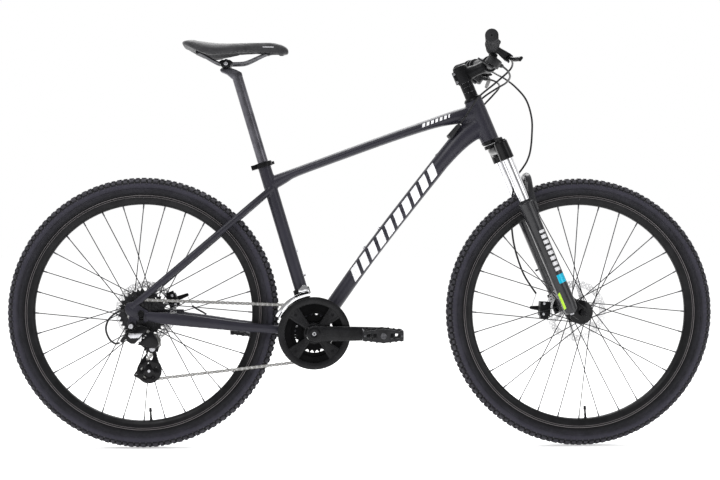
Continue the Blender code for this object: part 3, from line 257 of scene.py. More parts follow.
def leg_paint():
    """Gloss black fork legs with small plain marks, a cyan patch and a lime stripe."""
    n = Nodes("leg_paint", 0.24, 0.1, Specular_IOR_Level=0.3, Coat_Weight=0.3, Coat_Roughness=0.08)
    base = n.mix(n.spread(n.noise(14, 3), 0.35, 0.65), (0.014, 0.014, 0.016), (0.024, 0.024, 0.027))
    x, y, z = n.position()
    height = n.along(x, z, (HEAD_CENTRE.x, HEAD_CENTRE.z), (HEAD_UP.x, HEAD_UP.z))
    ahead = n.along(x, z, (HEAD_CENTRE.x, HEAD_CENTRE.z), (HEAD_FORWARD.x, HEAD_FORWARD.z))
    outer = n.outside(y, LEG_Y + 1)

    def patch(low, high, back, front, lean=0.0):
        shifted = n.math("ADD", height, n.times(ahead, lean))
        return n.times(n.times(n.between(shifted, low, high), n.between(ahead, back, front)), outer)

    step = n.math("FRACT", n.math("DIVIDE", n.math("ADD", height, 700), 15.0))
    bars = n.times(n.math("LESS_THAN", step, 0.62), patch(-432, -318, 13, 27))
    colour = n.mix(bars, base, (0.62, 0.62, 0.64))
    colour = n.mix(patch(-463, -440, 10, 30), colour, (0.0, 0.42, 0.62))
    colour = n.mix(patch(-528, -484, -4, 1.5, -0.6), colour, (0.45, 0.75, 0.03))
    n.colour(colour)
    n.rough(n.spread(n.noise(40), 0.3, 0.7, 0.17, 0.28))
    n.bump(n.noise(900, 2), 0.04, 0.0003)
    return n.material


def saddle_leather():
    n = Nodes("saddle_cover", 0.5, 0.0, Specular_IOR_Level=0.35, Sheen_Weight=0.1)
    cells = n.voronoi(900)
    base = n.mix(n.spread(n.noise(60), 0.35, 0.65), (0.016, 0.016, 0.018), (0.028, 0.028, 0.031))
    x, y, z = n.position()
    band = n.times(n.between(z, 1028.6, 1031.2), n.between(x, -258, -230))
    band = n.times(band, n.outside(y, 8.0))
    n.colour(n.mix(band, base, (0.5, 0.5, 0.52)))
    n.rough(n.spread(cells, 0.0, 0.6, 0.42, 0.58))
    n.bump(cells, 0.35, 0.0003)
    return n.material


def tyre_rubber():
    """Rubber darker at the bead, with a painted highlight up the sidewall and painted shade between
    the knobs.
    """
    n = Nodes("tyre_rubber", 0.78, 0.0, Specular_IOR_Level=0.3)
    radius = n.wheel_radius()
    dust = n.spread(n.noise(22, 5), 0.4, 0.7)
    base = n.mix(dust, (0.0125, 0.012, 0.0165), (0.024, 0.023, 0.0315))
    base = n.mix(n.spread(radius, 305, 318), (0.0045, 0.0045, 0.006), base)
    # a lighter violet band below the tread: the rubber's violet tint with a painted highlight
    base = n.mix(n.spread(radius, 318, 330), base, (0.037, 0.035, 0.05))
    # painted shade in the gaps between the knobs
    base = n.mix(n.spread(radius, 330, 333.5), base, (0.0022, 0.0022, 0.0028))
    n.colour(base)
    n.rough(n.spread(n.noise(140), 0.3, 0.7, 0.68, 0.88))
    n.bump(n.noise(700, 3), 0.3, 0.0005)
    return n.material


def rim_black():
    """Anodised black with two painted highlight lines at the rim's edge."""
    n = Nodes("rim_black", 0.4, 0.4, Specular_IOR_Level=0.25)
    radius = n.wheel_radius()
    base = n.mix(n.spread(n.noise(40), 0.35, 0.65), (0.006, 0.006, 0.0068), (0.011, 0.011, 0.0122))
    # painted highlights: two light rings on the rim's flange edges
    lines = n.math("MAXIMUM", n.between(radius, 300.4, 301.6), n.between(radius, 296.2, 297.0))
    n.colour(n.mix(lines, base, (0.17, 0.155, 0.16)))
    n.rough(n.spread(n.noise(92), 0.3, 0.7, 0.34, 0.46))
    n.bump(n.noise(900, 2), 0.05, 0.0003)
    return n.material


def grey(value):
    """A dark grey with a slight blue cast."""
    return value, value, value * 1.12


def make_materials():
    return {
        "paint": frame_paint(), "leg": leg_paint(), "leather": saddle_leather(),
        "tyre": tyre_rubber(),
        "alloy": varied("black_alloy", grey(0.005), (0.0095, 0.0095, 0.0106), 0.34, 0.4, bump=0.05,
                        Specular_IOR_Level=0.14),
        "gloss": varied("gloss_black", (0.004, 0.004, 0.0046), (0.008, 0.008, 0.009), 0.2, 0.3,
                        bump=0.03, spread=0.08, Specular_IOR_Level=0.16, Coat_Weight=0.1,
                        Coat_Roughness=0.1),
        "forged": varied("forged_black", (0.0055, 0.0055, 0.0062), (0.0105, 0.0105, 0.0118), 0.42,
                         0.3, grain=1600, bump=0.12, Specular_IOR_Level=0.15),
        # chainrings and spider darker than the other black parts: painted shade behind the chain
        # guard
        "ring": varied("ring_black_painted_shade", (0.0015, 0.0015, 0.0018), (0.003, 0.003, 0.0034), 0.3, 0.2,
                       bump=0.04, Specular_IOR_Level=0.06),
        "plastic": varied("black_plastic", grey(0.009), grey(0.016), 0.5, grain=2200, bump=0.2,
                          Specular_IOR_Level=0.25),
        "housing": varied("cable_housing", grey(0.008), grey(0.014), 0.34, bump=0.05, scale=120,
                          Specular_IOR_Level=0.25),
        "rubber": varied("grip_rubber", grey(0.01), grey(0.018), 0.72, grain=1200, bump=0.3,
                         Specular_IOR_Level=0.25),
        "spoke": varied("spoke_black", (0.02, 0.02, 0.022), (0.035, 0.035, 0.038), 0.35, 0.7,
                        bump=0.04, Specular_IOR_Level=0.25),
        "steel": brushed("steel", (0.42, 0.42, 0.44), (0.62, 0.62, 0.65), 0.28, (300, 300, 60)),
        "disc": brushed("disc_steel", (0.86, 0.86, 0.87), (0.95, 0.95, 0.96), 0.3, (700, 60, 700)),
        "rim": rim_black(),
        # the knobs in a lighter copy of the tyre's rubber: a painted highlight on the tread
        "knob": varied("knob_rubber_painted_highlight", (0.026, 0.025, 0.031), (0.05, 0.048, 0.058), 0.7, grain=1100,
                       bump=0.3, Specular_IOR_Level=0.3),
        "cog": brushed("cog_steel", (0.02, 0.02, 0.021), (0.045, 0.045, 0.048), 0.36,
                       (120, 1500, 120)),
        "dark_steel": brushed("dark_steel", (0.07, 0.07, 0.075), (0.14, 0.14, 0.15), 0.36,
                              (200, 600, 200)),
        "chain": varied("chain_steel", (0.19, 0.187, 0.18), (0.38, 0.375, 0.36), 0.32, 1.0,
                        scale=300, bump=0.1),
        "chrome": varied("chrome", (0.7, 0.7, 0.72), (0.86, 0.86, 0.88), 0.09, 1.0, bump=0.02,
                         spread=0.05),
        "seatpost": varied("seatpost_black", (0.085, 0.083, 0.095), (0.14, 0.137, 0.155), 0.3, 0.9,
                           bump=0.04),
        "guard": varied("guard_black", (0.006, 0.006, 0.0068), (0.012, 0.012, 0.0133), 0.26,
                        bump=0.04, spread=0.08, Specular_IOR_Level=0.18),
        "window": varied("window", (0.03, 0.032, 0.035), (0.05, 0.052, 0.056), 0.08, bump=0.01,
                         spread=0.04, Coat_Weight=1.0),
        "thread": varied("thread", (0.05, 0.05, 0.052), (0.08, 0.08, 0.083), 0.7, grain=3000,
                         bump=0.3),
        "white": varied("white_print", (0.6, 0.6, 0.62), (0.72, 0.72, 0.74), 0.45),
    }


MAT = make_materials()
USUAL_SLOTS = {
    "paint": "frame_paint", "leather": "saddle_cover", "thread": "saddle_cover", "tyre": "tyre",
    "knob": "tyre", "plastic": "black_plastic", "window": "black_plastic",
    "housing": "cable_housing", "rubber": "grip_rubber", "steel": "steel", "disc": "steel",
    "cog": "steel", "chain": "chain_steel", "chrome": "chrome",
    **dict.fromkeys(("leg", "alloy", "gloss", "forged", "ring", "spoke", "rim", "dark_steel",
                     "seatpost", "guard"),
                    "black_alloy")}

# ---------------------------------------------------------------- shapes

def skin(rings, closed=False, mesh=None):
    """Faces between rings of points, with end caps unless the rings close on themselves."""
    mesh = mesh or bmesh.new()
    rows = [[mesh.verts.new(point) for point in ring] for ring in rings]
    pairs = list(zip(rows, rows[1:])) + ([(rows[-1], rows[0])] if closed else [])
    for row, following in pairs:
        for i in range(len(row)):
            j = (i + 1) % len(row)
            mesh.faces.new((row[i], row[j], following[j], following[i]))
    if not closed:
        mesh.faces.new(rows[0])
        mesh.faces.new(rows[-1])
    bmesh.ops.recalc_face_normals(mesh, faces=mesh.faces)
    return mesh


def across_axes(direction):
    """Two unit vectors at right angles to a direction, the first one horizontal."""
    side = UP.cross(direction)
    side = ACROSS.copy() if side.length < 1e-6 else side.normalized()
    return side, direction.cross(side).normalized()


def ellipse(centre, side, up, half_side, half_up, count):
    turns = [2 * pi * (i + 0.5) / count for i in range(count)]
    return [centre + side * (half_side * cos(t)) + up * (half_up * sin(t)) for t in turns]


def rod(start, end, radius, end_radius=None, sides=32, chamfer=0.0):
    """A round bar between two points, with its end edges taken off."""
    along = (end - start).normalized()
    side, up = across_axes(along)
    last = radius if end_radius is None else end_radius
    stations = [(start, radius), (end, last)]
    if chamfer:
        stations = [(start, radius - chamfer), (start + along * chamfer, radius),
                    (end - along * chamfer, last), (end, last - chamfer)]
    return skin([ellipse(centre, side, up, r, r, sides) for centre, r in stations])


def tube(points, radius, sides=12):
    """A bar along a polyline, with one radius or one per point; its rings don't twist."""
    radii = radius if isinstance(radius, (list, tuple)) else [radius] * len(points)
    rings, side = [], None
    for i, point in enumerate(points):
        along = (points[min(i + 1, len(points) - 1)] - points[max(i - 1, 0)]).normalized()
        side = across_axes(along)[0] if side is None else (side
                                                           - along * along.dot(side)).normalized()
        rings.append(ellipse(point, side, along.cross(side), radii[i], radii[i], sides))
    return skin(rings)


def loft(stations, sides=32):
    """A bar through (centre, half depth, half width) stations, the width measured across Y."""
    rings = []
    for i, (centre, depth, width) in enumerate(stations):
        along = (stations[min(i + 1, len(stations) - 1)][0]
                 - stations[max(i - 1, 0)][0]).normalized()
        side = (ACROSS - along * along.dot(ACROSS)).normalized()
        rings.append(ellipse(centre, side, along.cross(side), width, depth, sides))
    return skin(rings)


def lathe(profile, centre, axis, steps=48):
    """A closed solid of revolution from (along, radius) corners, none of them on the axis."""
    side, up = across_axes(axis)
    rings = []
    for k in range(steps):
        out = side * cos(2 * pi * k / steps) + up * sin(2 * pi * k / steps)
        rings.append([centre + axis * along + out * radius for along, radius in profile])
    return skin(rings, closed=True)


def prism(outline, low, high, origin=Vector(), first=Vector((1, 0, 0)), second=Vector((0, 0, 1))):
    """An outline of (first, second) corners, extruded along Y or the plane's normal."""
    normal = ACROSS if abs(first.y) + abs(second.y) < 1e-9 else first.cross(second).normalized()
    flat = [origin + first * a + second * b for a, b in outline]
    return skin([[point + normal * low for point in flat],
                 [point + normal * high for point in flat]])


CORNERS = ((-1, -1), (1, -1), (1, 1), (-1, 1))


def block(centre, half, first=Vector((1, 0, 0)), second=Vector((0, 1, 0))):
    third = first.cross(second)
    flat = [centre + first * (a * half[0]) + second * (b * half[1]) for a, b in CORNERS]
    return skin([[point - third * half[2] for point in flat],
                 [point + third * half[2] for point in flat]])


def plate(outline, holes, low, high, centre=Vector(), first=Vector((1, 0, 0)),
          second=Vector((0, 0, 1))):
    """A flat plate with round or shaped holes, filled by a scanline and then thickened."""
    normal = ACROSS if abs(first.y) + abs(second.y) < 1e-9 else first.cross(second).normalized()
    mesh = bmesh.new()
    edges = []
    for loop in (outline, *holes):
        verts = [mesh.verts.new(centre + first * a + second * b + normal * low) for a, b in loop]
        edges += [mesh.edges.new((verts[i], verts[(i + 1) % len(verts)]))
                  for i in range(len(verts))]
    bmesh.ops.triangle_fill(mesh, use_beauty=True, use_dissolve=False, edges=edges)
    made = bmesh.ops.extrude_face_region(mesh, geom=list(mesh.faces))
    moved = [v for v in made["geom"] if isinstance(v, bmesh.types.BMVert)]
    bmesh.ops.translate(mesh, verts=moved, vec=normal * (high - low))
    bmesh.ops.recalc_face_normals(mesh, faces=mesh.faces)
    return mesh


def circle(radius, count=24, x=0.0, z=0.0):
    return [(x + radius * cos(2 * pi * k / count), z + radius * sin(2 * pi * k / count))
            for k in range(count)]


def catmull(points, steps=8):
    """A smooth polyline through the points."""
    ends = [points[0] * 2 - points[1]] + list(points) + [points[-1] * 2 - points[-2]]
    fine = []
    for a, b, c, d in zip(ends, ends[1:], ends[2:], ends[3:]):
        for step in range(steps):
            t = step / steps
            fine.append(0.5 * (2 * b + (c - a) * t + (2 * a - 5 * b + 4 * c - d) * t * t
                               + (3 * b - a - 3 * c + d) * t ** 3))
    return fine + [points[-1]]


def around(turn):
    """The unit vector at an angle in the plane of the wheels."""
    return Vector((cos(turn), 0, sin(turn)))


def mirrored(half):
    """Rows that start at Y = 0, with their mirror images put before them."""
    return [(-row[0], *row[1:]) for row in reversed(half[1:])] + half


def folded(half, tip):
    """An outline from one side's corners, a corner at the fold and the other side's."""
    return [*half, tip, *((a, -b) for a, b in reversed(half))]


def joined(meshes):
    together = bmesh.new()
    for mesh in meshes:
        scratch = bpy.data.meshes.new("scratch")
        mesh.to_mesh(scratch)
        mesh.free()
        together.from_mesh(scratch)
        bpy.data.meshes.remove(scratch)
    return together


# ---------------------------------------------------------------- pieces

def applied(obj):
    """Applies an object's modifiers to its mesh."""
    seen = obj.evaluated_get(bpy.context.evaluated_depsgraph_get())
    mesh = bpy.data.meshes.new_from_object(seen)
    obj.modifiers.clear()
    obj.data = mesh
    return obj


def piece(name, mesh, material, body, replaces=(), slot=None, bevel=0.0, angle=32, segments=2):
    """A finished piece that rides on a body: its edges are rounded by bevel millimetres.

    Its slot argument is not used.
    """
    if isinstance(mesh, (list, tuple)):
        mesh = joined(mesh)
    bmesh.ops.scale(mesh, verts=mesh.verts, vec=(MM,) * 3)
    data = bpy.data.meshes.new(name)
    mesh.to_mesh(data)
    mesh.free()
    obj = bpy.data.objects.new(name, data)
    bpy.context.scene.collection.objects.link(obj)
    data.materials.append(MAT[material] if isinstance(material, str) else material)
    if bevel:
        modifier = obj.modifiers.new("edge", "BEVEL")
        modifier.width, modifier.segments, modifier.limit_method = bevel * MM, segments, "ANGLE"
        modifier.angle_limit, modifier.use_clamp_overlap = radians(angle), True
        applied(obj)
    obj.data.shade_smooth()
    obj.data.set_sharp_from_angle(angle=radians(angle))
    if body:
        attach(obj, body)
    slot = slot or USUAL_SLOTS.get(material)
    if replaces:
        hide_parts(*replaces)
    return obj


def remeshed(obj, voxel, smoothing=0, factor=0.5):
    """Welds a piece's shells into one skin and softens its inner corners."""
    modifier = obj.modifiers.new("weld", "REMESH")
    modifier.mode, modifier.voxel_size, modifier.use_smooth_shade = "VOXEL", voxel * MM, True
    if smoothing:
        smooth = obj.modifiers.new("soften", "SMOOTH")
        smooth.iterations, smooth.factor = smoothing, factor
    applied(obj)
    obj.data.shade_smooth()
    return obj


def welded(name, mesh, material, body, node, voxel, smoothing):
    """A piece whose shapes are welded into one skin before it rides."""
    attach(remeshed(piece(name, mesh, material, None, [node]), voxel, smoothing), body)


# ---------------------------------------------------------------- camera and light

def make_stage():
    scene = bpy.context.scene
    scene.view_settings.view_transform = "Standard"
    turn, distance, height, aim = radians(2.4), 3.9, 0.5335, -0.0067
    camera = bpy.data.cameras.new("camera")
    camera.lens, camera.sensor_width = 75.3, 36.0
    rig = bpy.data.objects.new("camera", camera)
    rig.location = (aim - distance * sin(turn), -distance * cos(turn), height)
    rig.rotation_euler = (pi / 2, 0, -turn)
    scene.collection.objects.link(rig)
    scene.camera = rig

    world = bpy.data.worlds.new("studio")
    scene.world = world
    world.use_nodes = True
    tree = world.node_tree
    background = tree.nodes["Background"]
    shade = tree.nodes.new("ShaderNodeMix")
    shade.data_type = "RGBA"
    shade.inputs[7].default_value = (1, 1, 1, 1)
    tree.links.new(tree.nodes.new("ShaderNodeLightPath").outputs["Is Camera Ray"], shade.inputs[0])
    way = tree.nodes.new("ShaderNodeSeparateXYZ")
    tree.links.new(tree.nodes.new("ShaderNodeTexCoord").outputs["Generated"], way.inputs[0])
    glow = tree.nodes.new("ShaderNodeMapRange")
    glow.interpolation_type = "SMOOTHSTEP"
    for socket, value in zip(glow.inputs[1:5], (-0.9, 0.9, 0.32, 1.1)):
        socket.default_value = value
    tree.links.new(way.outputs["Y"], glow.inputs[0])
    tree.links.new(glow.outputs[0], shade.inputs[6])
    tree.links.new(shade.outputs[2], background.inputs["Color"])
    background.inputs["Strength"].default_value = 1.0
    for name, place, power, size in (("key", (-1.6, -2.4, 3.2), 60, 1.8),
                                     ("fill", (2.8, -2.4, 1.2), 24, 2.0),
                                     ("rim", (0.2, 1.6, 3.3), 100, 2.6)):
        light = bpy.data.lights.new(name, "AREA")
        light.energy, light.size = power, size
        lamp = bpy.data.objects.new(name, light)
        lamp.location = place
        aim_at = Vector((0, 0, 0.45)) - Vector(place)
        lamp.rotation_euler = aim_at.to_track_quat("-Z", "Y").to_euler()
        scene.collection.objects.link(lamp)

    pale = Nodes("pale_floor", 0.9)
    pale.colour(pale.mix(pale.spread(pale.noise(3), 0.35, 0.65), (0.9, 0.9, 0.9),
                         (0.94, 0.94, 0.94)))
    pale.shader.inputs["Emission Color"].default_value = (1, 1, 1, 1)
    pale.shader.inputs["Emission Strength"].default_value = 0.45
    outline = ((-30000, -8000), (30000, -8000), (30000, 40000), (-30000, 40000))
    ground = skin([[Vector((x, y, z)) for x, y in outline] for z in (-20.0, -0.5)])
    piece("floor", ground, pale.material, None)


# ---------------------------------------------------------------- wheels

TREAD_PITCHES = 68
# for each row of knobs: Y, radius, lean, the knob's length, width and height, and its shift
TREAD_ROWS = [(4.6, 342.6, 5, 11.5, 7.4, 3.9, 0.0), (4.2, 342.6, 5, 8.5, 6.2, 3.8, 0.5),
              (12.6, 341.2, 20, 9.5, 6.2, 2.4, 0.28), (12.0, 341.2, 18, 8.0, 5.0, 2.4, 0.76),
              (19.4, 337.6, 44, 12.5, 7.2, 4.4, 0.02), (20.4, 336.6, 48, 9.5, 6.0, 3.8, 0.52),
              (24.0, 331.0, 72, 3.4, 6.0, 1.6, 0.27), (24.0, 331.0, 72, 3.4, 6.0, 1.6, 0.77)]


def knob(mesh, centre, length, width, height, along, across, normal):
    """A tread block, smaller at its top."""
    low, high = [], []
    for a, b in CORNERS:
        low.append(mesh.verts.new(centre - normal * 1.5 + along * (a * length / 2)
                                  + across * (b * width / 2)))
        high.append(mesh.verts.new(centre + normal * height + along * (a * length * 0.42)
                                   + across * (b * width * 0.42)))
    for i in range(4):
        j = (i + 1) % 4
        mesh.faces.new((low[i], low[j], high[j], high[i]))
    mesh.faces.new(high)
    mesh.faces.new(low)


def make_tyre(end, axle, body):
    half = [(9.5, 298.5), (11.5, 303.2), (16.5, 306.5), (21.5, 312), (24.6, 319.5), (25.2, 326.5),
            (23.2, 333), (18.5, 338.4), (12, 341.8), (5, 343)]
    inner = [(7, 301.5), (0, 302.5)]
    profile = [(-y, r) for y, r in half] + half[::-1] + inner + [(-7, 301.5)]
    carcass = lathe(profile, axle, ACROSS, 144)
    blocks = bmesh.new()
    rows = [(y * side, r, tilt * side, *size, shift)
            for side in (-1, 1) for y, r, tilt, *size, shift in TREAD_ROWS]
    for k in range(TREAD_PITCHES):
        for y, r, tilt, length, width, height, shift in rows:
            t = 2 * pi * (k + shift + (0.03 if y > 0 else 0)) / TREAD_PITCHES
            out = Vector((sin(t), 0, cos(t)))
            along = Vector((cos(t), 0, -sin(t)))
            lean = radians(tilt)
            normal = out * cos(lean) + ACROSS * sin(lean)
            knob(blocks, axle + out * r + ACROSS * y, length, width, height, along,
                 ACROSS * cos(lean) - out * sin(lean), normal)
    bmesh.ops.recalc_face_normals(blocks, faces=blocks.faces)
    ribs = [lathe([(s * 24.4, 316), (s * 25.6, 316.6), (s * 25.9, 317.6), (s * 25.0, 318.4)], axle,
                  ACROSS, 120)
            for s in (-1, 1)]
    piece(f"{end}_tyre_carcass", [carcass, *ribs], "tyre", body, [f"{end}_tyre"], angle=40)
    # the knobs take the lighter rubber, a painted highlight
    piece(f"{end}_tyre_knobs", blocks, "knob", body, angle=40)


def make_rim(end, axle, body):
    half = [(10.3, 294.5), (10.6, 302.6), (12.4, 302.9), (13.2, 301.5), (13.0, 296), (12.2, 288),
            (8.8, 281), (4.2, 277.6)]
    profile = half + [(-y, r) for y, r in reversed(half)]
    piece(f"{end}_rim_hoop", lathe(profile, axle, ACROSS, 144), "rim", body, [f"{end}_rim"],
          angle=50)
    t = radians(3.75)
    down = Vector((sin(t), 0, -cos(t)))
    stem = lathe([(0, 1.6), (0, 3.1), (12, 3.1), (12.5, 2.6), (24, 2.6), (24, 1.6)],
                 axle + down * 278, -down, 20)
    nut = lathe([(0, 3.2), (0, 4.6), (3, 4.6), (3, 3.2)], axle + down * 279, -down, 6)
    cap = rod(axle + down * 256, axle + down * 246, 3.9, 3.3, 16, 0.6)
    piece(f"{end}_valve", [stem, nut, cap], "rubber", body)
    joint = [block(axle + Vector((0, 0, -1)) * 291 + ACROSS * (s * 12.9), (0.25, 0.2, 5))
             for s in (-1, 1)]
    for mesh in joint:
        bmesh.ops.rotate(mesh, verts=mesh.verts, cent=axle, matrix=Matrix.Rotation(pi, 3, "Y"))
    piece(f"{end}_rim_seam", joint, "dark_steel", body)


SPOKES, LACING = 32, 2 * pi * 3 / 16
HOLE_RADIUS, NIPPLE_RADIUS = 27.5, 280.5


def make_hub(end, axle, body, flanges, half_width, freehub):
    low, high = flanges
    shell = [(-half_width, 5.4), (half_width, 5.4), (half_width, 8.6), (high + 9, 9.5),
             (high + 6, 15.5), (high + 2.2, 17), (high + 1.6, 30), (high + 1, 31), (high - 1, 31),
             (high - 1.6, 30), (high - 3, 18.5), (high - 9, 15), (low + 9, 15), (low + 3, 18.5),
             (low + 1.6, 30), (low + 1, 31), (low - 1, 31), (low - 1.6, 30), (low - 2.2, 17),
             (low - 6, 13.5), (low - 9, 9.5), (-half_width, 8.6)]
    shapes = [lathe(shell, axle, ACROSS, 56)]
    if freehub:
        shapes.append(lathe([(-62, 8), (-20, 8), (-20, 15.2), (-62, 15.2)], axle, ACROSS, 40))
        shapes.append(lathe([(34, 8), (REAR_ROTOR_Y - 1.3, 8), (REAR_ROTOR_Y - 1.3, 17), (34, 17)],
                            axle, ACROSS, 40))
    else:
        shapes.append(lathe([(22, 8), (FRONT_ROTOR_Y - 1.3, 8), (FRONT_ROTOR_Y - 1.3, 17),
                             (22, 17)], axle, ACROSS, 40))
    piece(f"{end}_hub_shell", shapes, "gloss", body, [f"{end}_hub"], bevel=0.4, angle=40)
    bars, heads, nipples = [], [], []
    for number in range(SPOKES):
        left, order = number % 2, number // 2
        leading = 1 if order % 2 else -1
        rim_turn = 2 * pi * number / SPOKES
        hole_turn = rim_turn + leading * LACING
        depth = flanges[left] + leading * 1.7
        hole = axle + Vector((sin(hole_turn) * HOLE_RADIUS, depth, cos(hole_turn) * HOLE_RADIUS))
        seat_y = 2.0 if left else -2.0
        tip = axle + Vector((sin(rim_turn) * NIPPLE_RADIUS, seat_y, cos(rim_turn) * NIPPLE_RADIUS))
        along = (tip - hole).normalized()
        bars.append(tube([hole, tip - along * 8], 1.25, 8))
        heads.append(rod(hole + ACROSS * (leading * 1.6), hole - ACROSS * (leading * 1.2), 1.9,
                         sides=10))
        nipples.append(rod(tip - along * 13, tip, 1.9, 2.2, 8))
    piece(f"{end}_spokes", bars + heads, "spoke", body)
    piece(f"{end}_nipples", nipples, "dark_steel", body)


ROTOR_RADIUS, ROTOR_BOLT_RADIUS, DRILLINGS = 79.4, 22, 36


def make_rotor(end, axle, body, y):
    outline = []
    for t in (2 * pi * k / 144 for k in range(144)):
        edge = ROTOR_RADIUS + 0.6 * cos(24 * t)
        outline.append((edge * cos(t), edge * sin(t)))
    holes = []
    for k in range(DRILLINGS):
        t = 2 * pi * k / DRILLINGS
        for radius, shift, size in ((76.2, 0, 1.7), (71.8, 0.5, 2.1), (67.6, 0, 1.6)):
            a = t + shift * 2 * pi / DRILLINGS
            holes.append(circle(size, 8, radius * cos(a), radius * sin(a)))
    for k in range(6):
        window = []
        for radius, start, stop, count in ((62.5, 0.09, 0.91, 9), (31, 0.84, 0.16, 6)):
            lean = (radius - 31) / 31.5 * 0.42
            for i in range(count):
                a = 2 * pi / 6 * (k + start + (stop - start) * i / (count - 1)) + lean
                window.append((radius * cos(a), radius * sin(a)))
        holes.append(window)
    holes.append(circle(17.6, 32))
    disc = plate(outline, holes, -0.9, 0.9, axle + ACROSS * y)
    bolts = []
    for k in range(6):
        a = 2 * pi * k / 6 + 0.2
        at = axle + ACROSS * (y + 0.9) + around(a) * ROTOR_BOLT_RADIUS
        bolts.append(rod(at, at + ACROSS * 2.2, 3.6, sides=12, chamfer=0.5))
    piece(f"{end}_rotor_disc", disc, "disc", body, [f"{end}_rotor"])
    piece(f"{end}_rotor_bolts", bolts, "dark_steel", body, slot="steel")


def make_wheels():
    for end, axle, flanges, half_width, rotor_y in (("front", FRONT_AXLE, (-35, 22), 49.5,
                                                     FRONT_ROTOR_Y),
                                                    ("rear", REAR_AXLE, (-19, 34), 67,
                                                     REAR_ROTOR_Y)):
        body = f"{end}_wheel"
        make_tyre(end, axle, body)
        make_rim(end, axle, body)
        make_hub(end, axle, body, flanges, half_width, end == "rear")
        make_rotor(end, axle, body, rotor_y)


# ---------------------------------------------------------------- frame

def flat_stations(rows):
    return [(Vector((x, 0, z)), depth, width) for (x, z), depth, width in rows]


def eased(stations, steps=5):
    """The stations with smooth ones put between them."""
    packed = [Vector((*s[0], s[1], s[2])) for s in stations]
    return [(Vector(p[:3]), p[3], p[4]) for p in catmull(packed, steps)]


def frame_tubes():
    down = flat_stations([((-122, 300), 19.5, 21), ((25.6, 507.6), 20, 22), ((180, 706), 21.3, 23),
                          ((212, 746), 22, 23), ((240, 778), 24, 23), ((268, 806), 27, 22),
                          ((300, 828), 28, 20)])
    top = flat_stations([((-246, 676), 17, 14.5), ((-224, 684.5), 17, 15),
                         ((-200, 696), 14.6, 16.5), ((-169.7, 709.7), 11.8, 18),
                         ((-45.6, 755.8), 11.7, 19), ((78.9, 801), 12, 20),
                         ((172.5, 832.8), 13.3, 21), ((215, 845.5), 15.8, 21), ((250, 854), 19, 20),
                         ((302, 864), 22, 18)])
    shapes = [loft(eased(down, 3), 36), loft(eased(top, 3), 36),
              rod(steer(0, -HEAD_TUBE_HALF), steer(0, HEAD_TUBE_HALF), 23.5, sides=48),
              rod(seat(0, 0), seat(0, SEAT_TUBE_TOP), 17, sides=40),
              rod(BOTTOM_BRACKET - ACROSS * 34, BOTTOM_BRACKET + ACROSS * 34, 21.5, sides=48)]
    for side in (-1, 1):
        chain_stay = [((-140, 24, 299), 10.5, 9), ((-190, 35.2, 302), 11, 8.2),
                      ((-235, 42, 306), 11, 8), ((-315, 47.5, 313), 12.5, 8),
                      ((-395, 55.5, 322.5), 14.5, 8), ((-480, 64, 332.5), 15.8, 7),
                      ((-528, 69.6, 338), 14, 4.5), ((-553, 71.2, 341), 12, 3.6)]
        seat_stay = [((-232, 9, 668), 9, 7.5), ((-250, 17, 652.7), 9, 7.5),
                     ((-282, 33, 625.3), 9, 7), ((-315, 40.5, 597), 8.8, 6.6),
                     ((-400, 50, 524.2), 8.8, 6.6), ((-480, 59.5, 455.7), 8.8, 6.6),
                     ((-530, 65.5, 412.9), 8.8, 6), ((-566, 70.4, 382), 9, 4),
                     ((-590, 71.2, 362), 9, 3.4)]
        for stay in (chain_stay, seat_stay):
            stations = [(Vector((x, y * side, z)), depth, width) for (x, y, z), depth,
                        width in stay]
            shapes.append(loft(eased(stations, 3), 22))
    shapes += [rod(Vector((-297, -38, 612)), Vector((-297, 38, 612)), 6.5, sides=24),
               rod(Vector((-203, -38, 303)), Vector((-203, 38, 303)), 5.5, sides=24)]
    return shapes


def dropout_shapes():
    outline = [(-605, 362), (-599, 374), (-584, 377), (-566, 366), (-546, 354), (-540, 340),
               (-546, 329), (-556.6, 323.4), (-557.4, 332), (-557.8, 344.5), (-559.6, 350),
               (-563, 352.2), (-566.4, 350), (-568.2, 344.5), (-568.4, 334), (-569.4, 326.8),
               (-584, 338), (-600, 346)]
    hanger = [(-592, 344), (-574, 334), (-576, 320), (-577, 309), (-583, 304), (-592, 304),
              (-597, 310), (-598, 322)]
    shapes = [prism(outline, *sorted((side * 67.7, side * 73.5))) for side in (-1, 1)]
    shapes.append(prism(hanger, -73.2, -67.9))
    shapes.append(prism([(-518, 338), (-462, 334), (-466, 352), (-516, 353)], 57, 67))
    return shapes


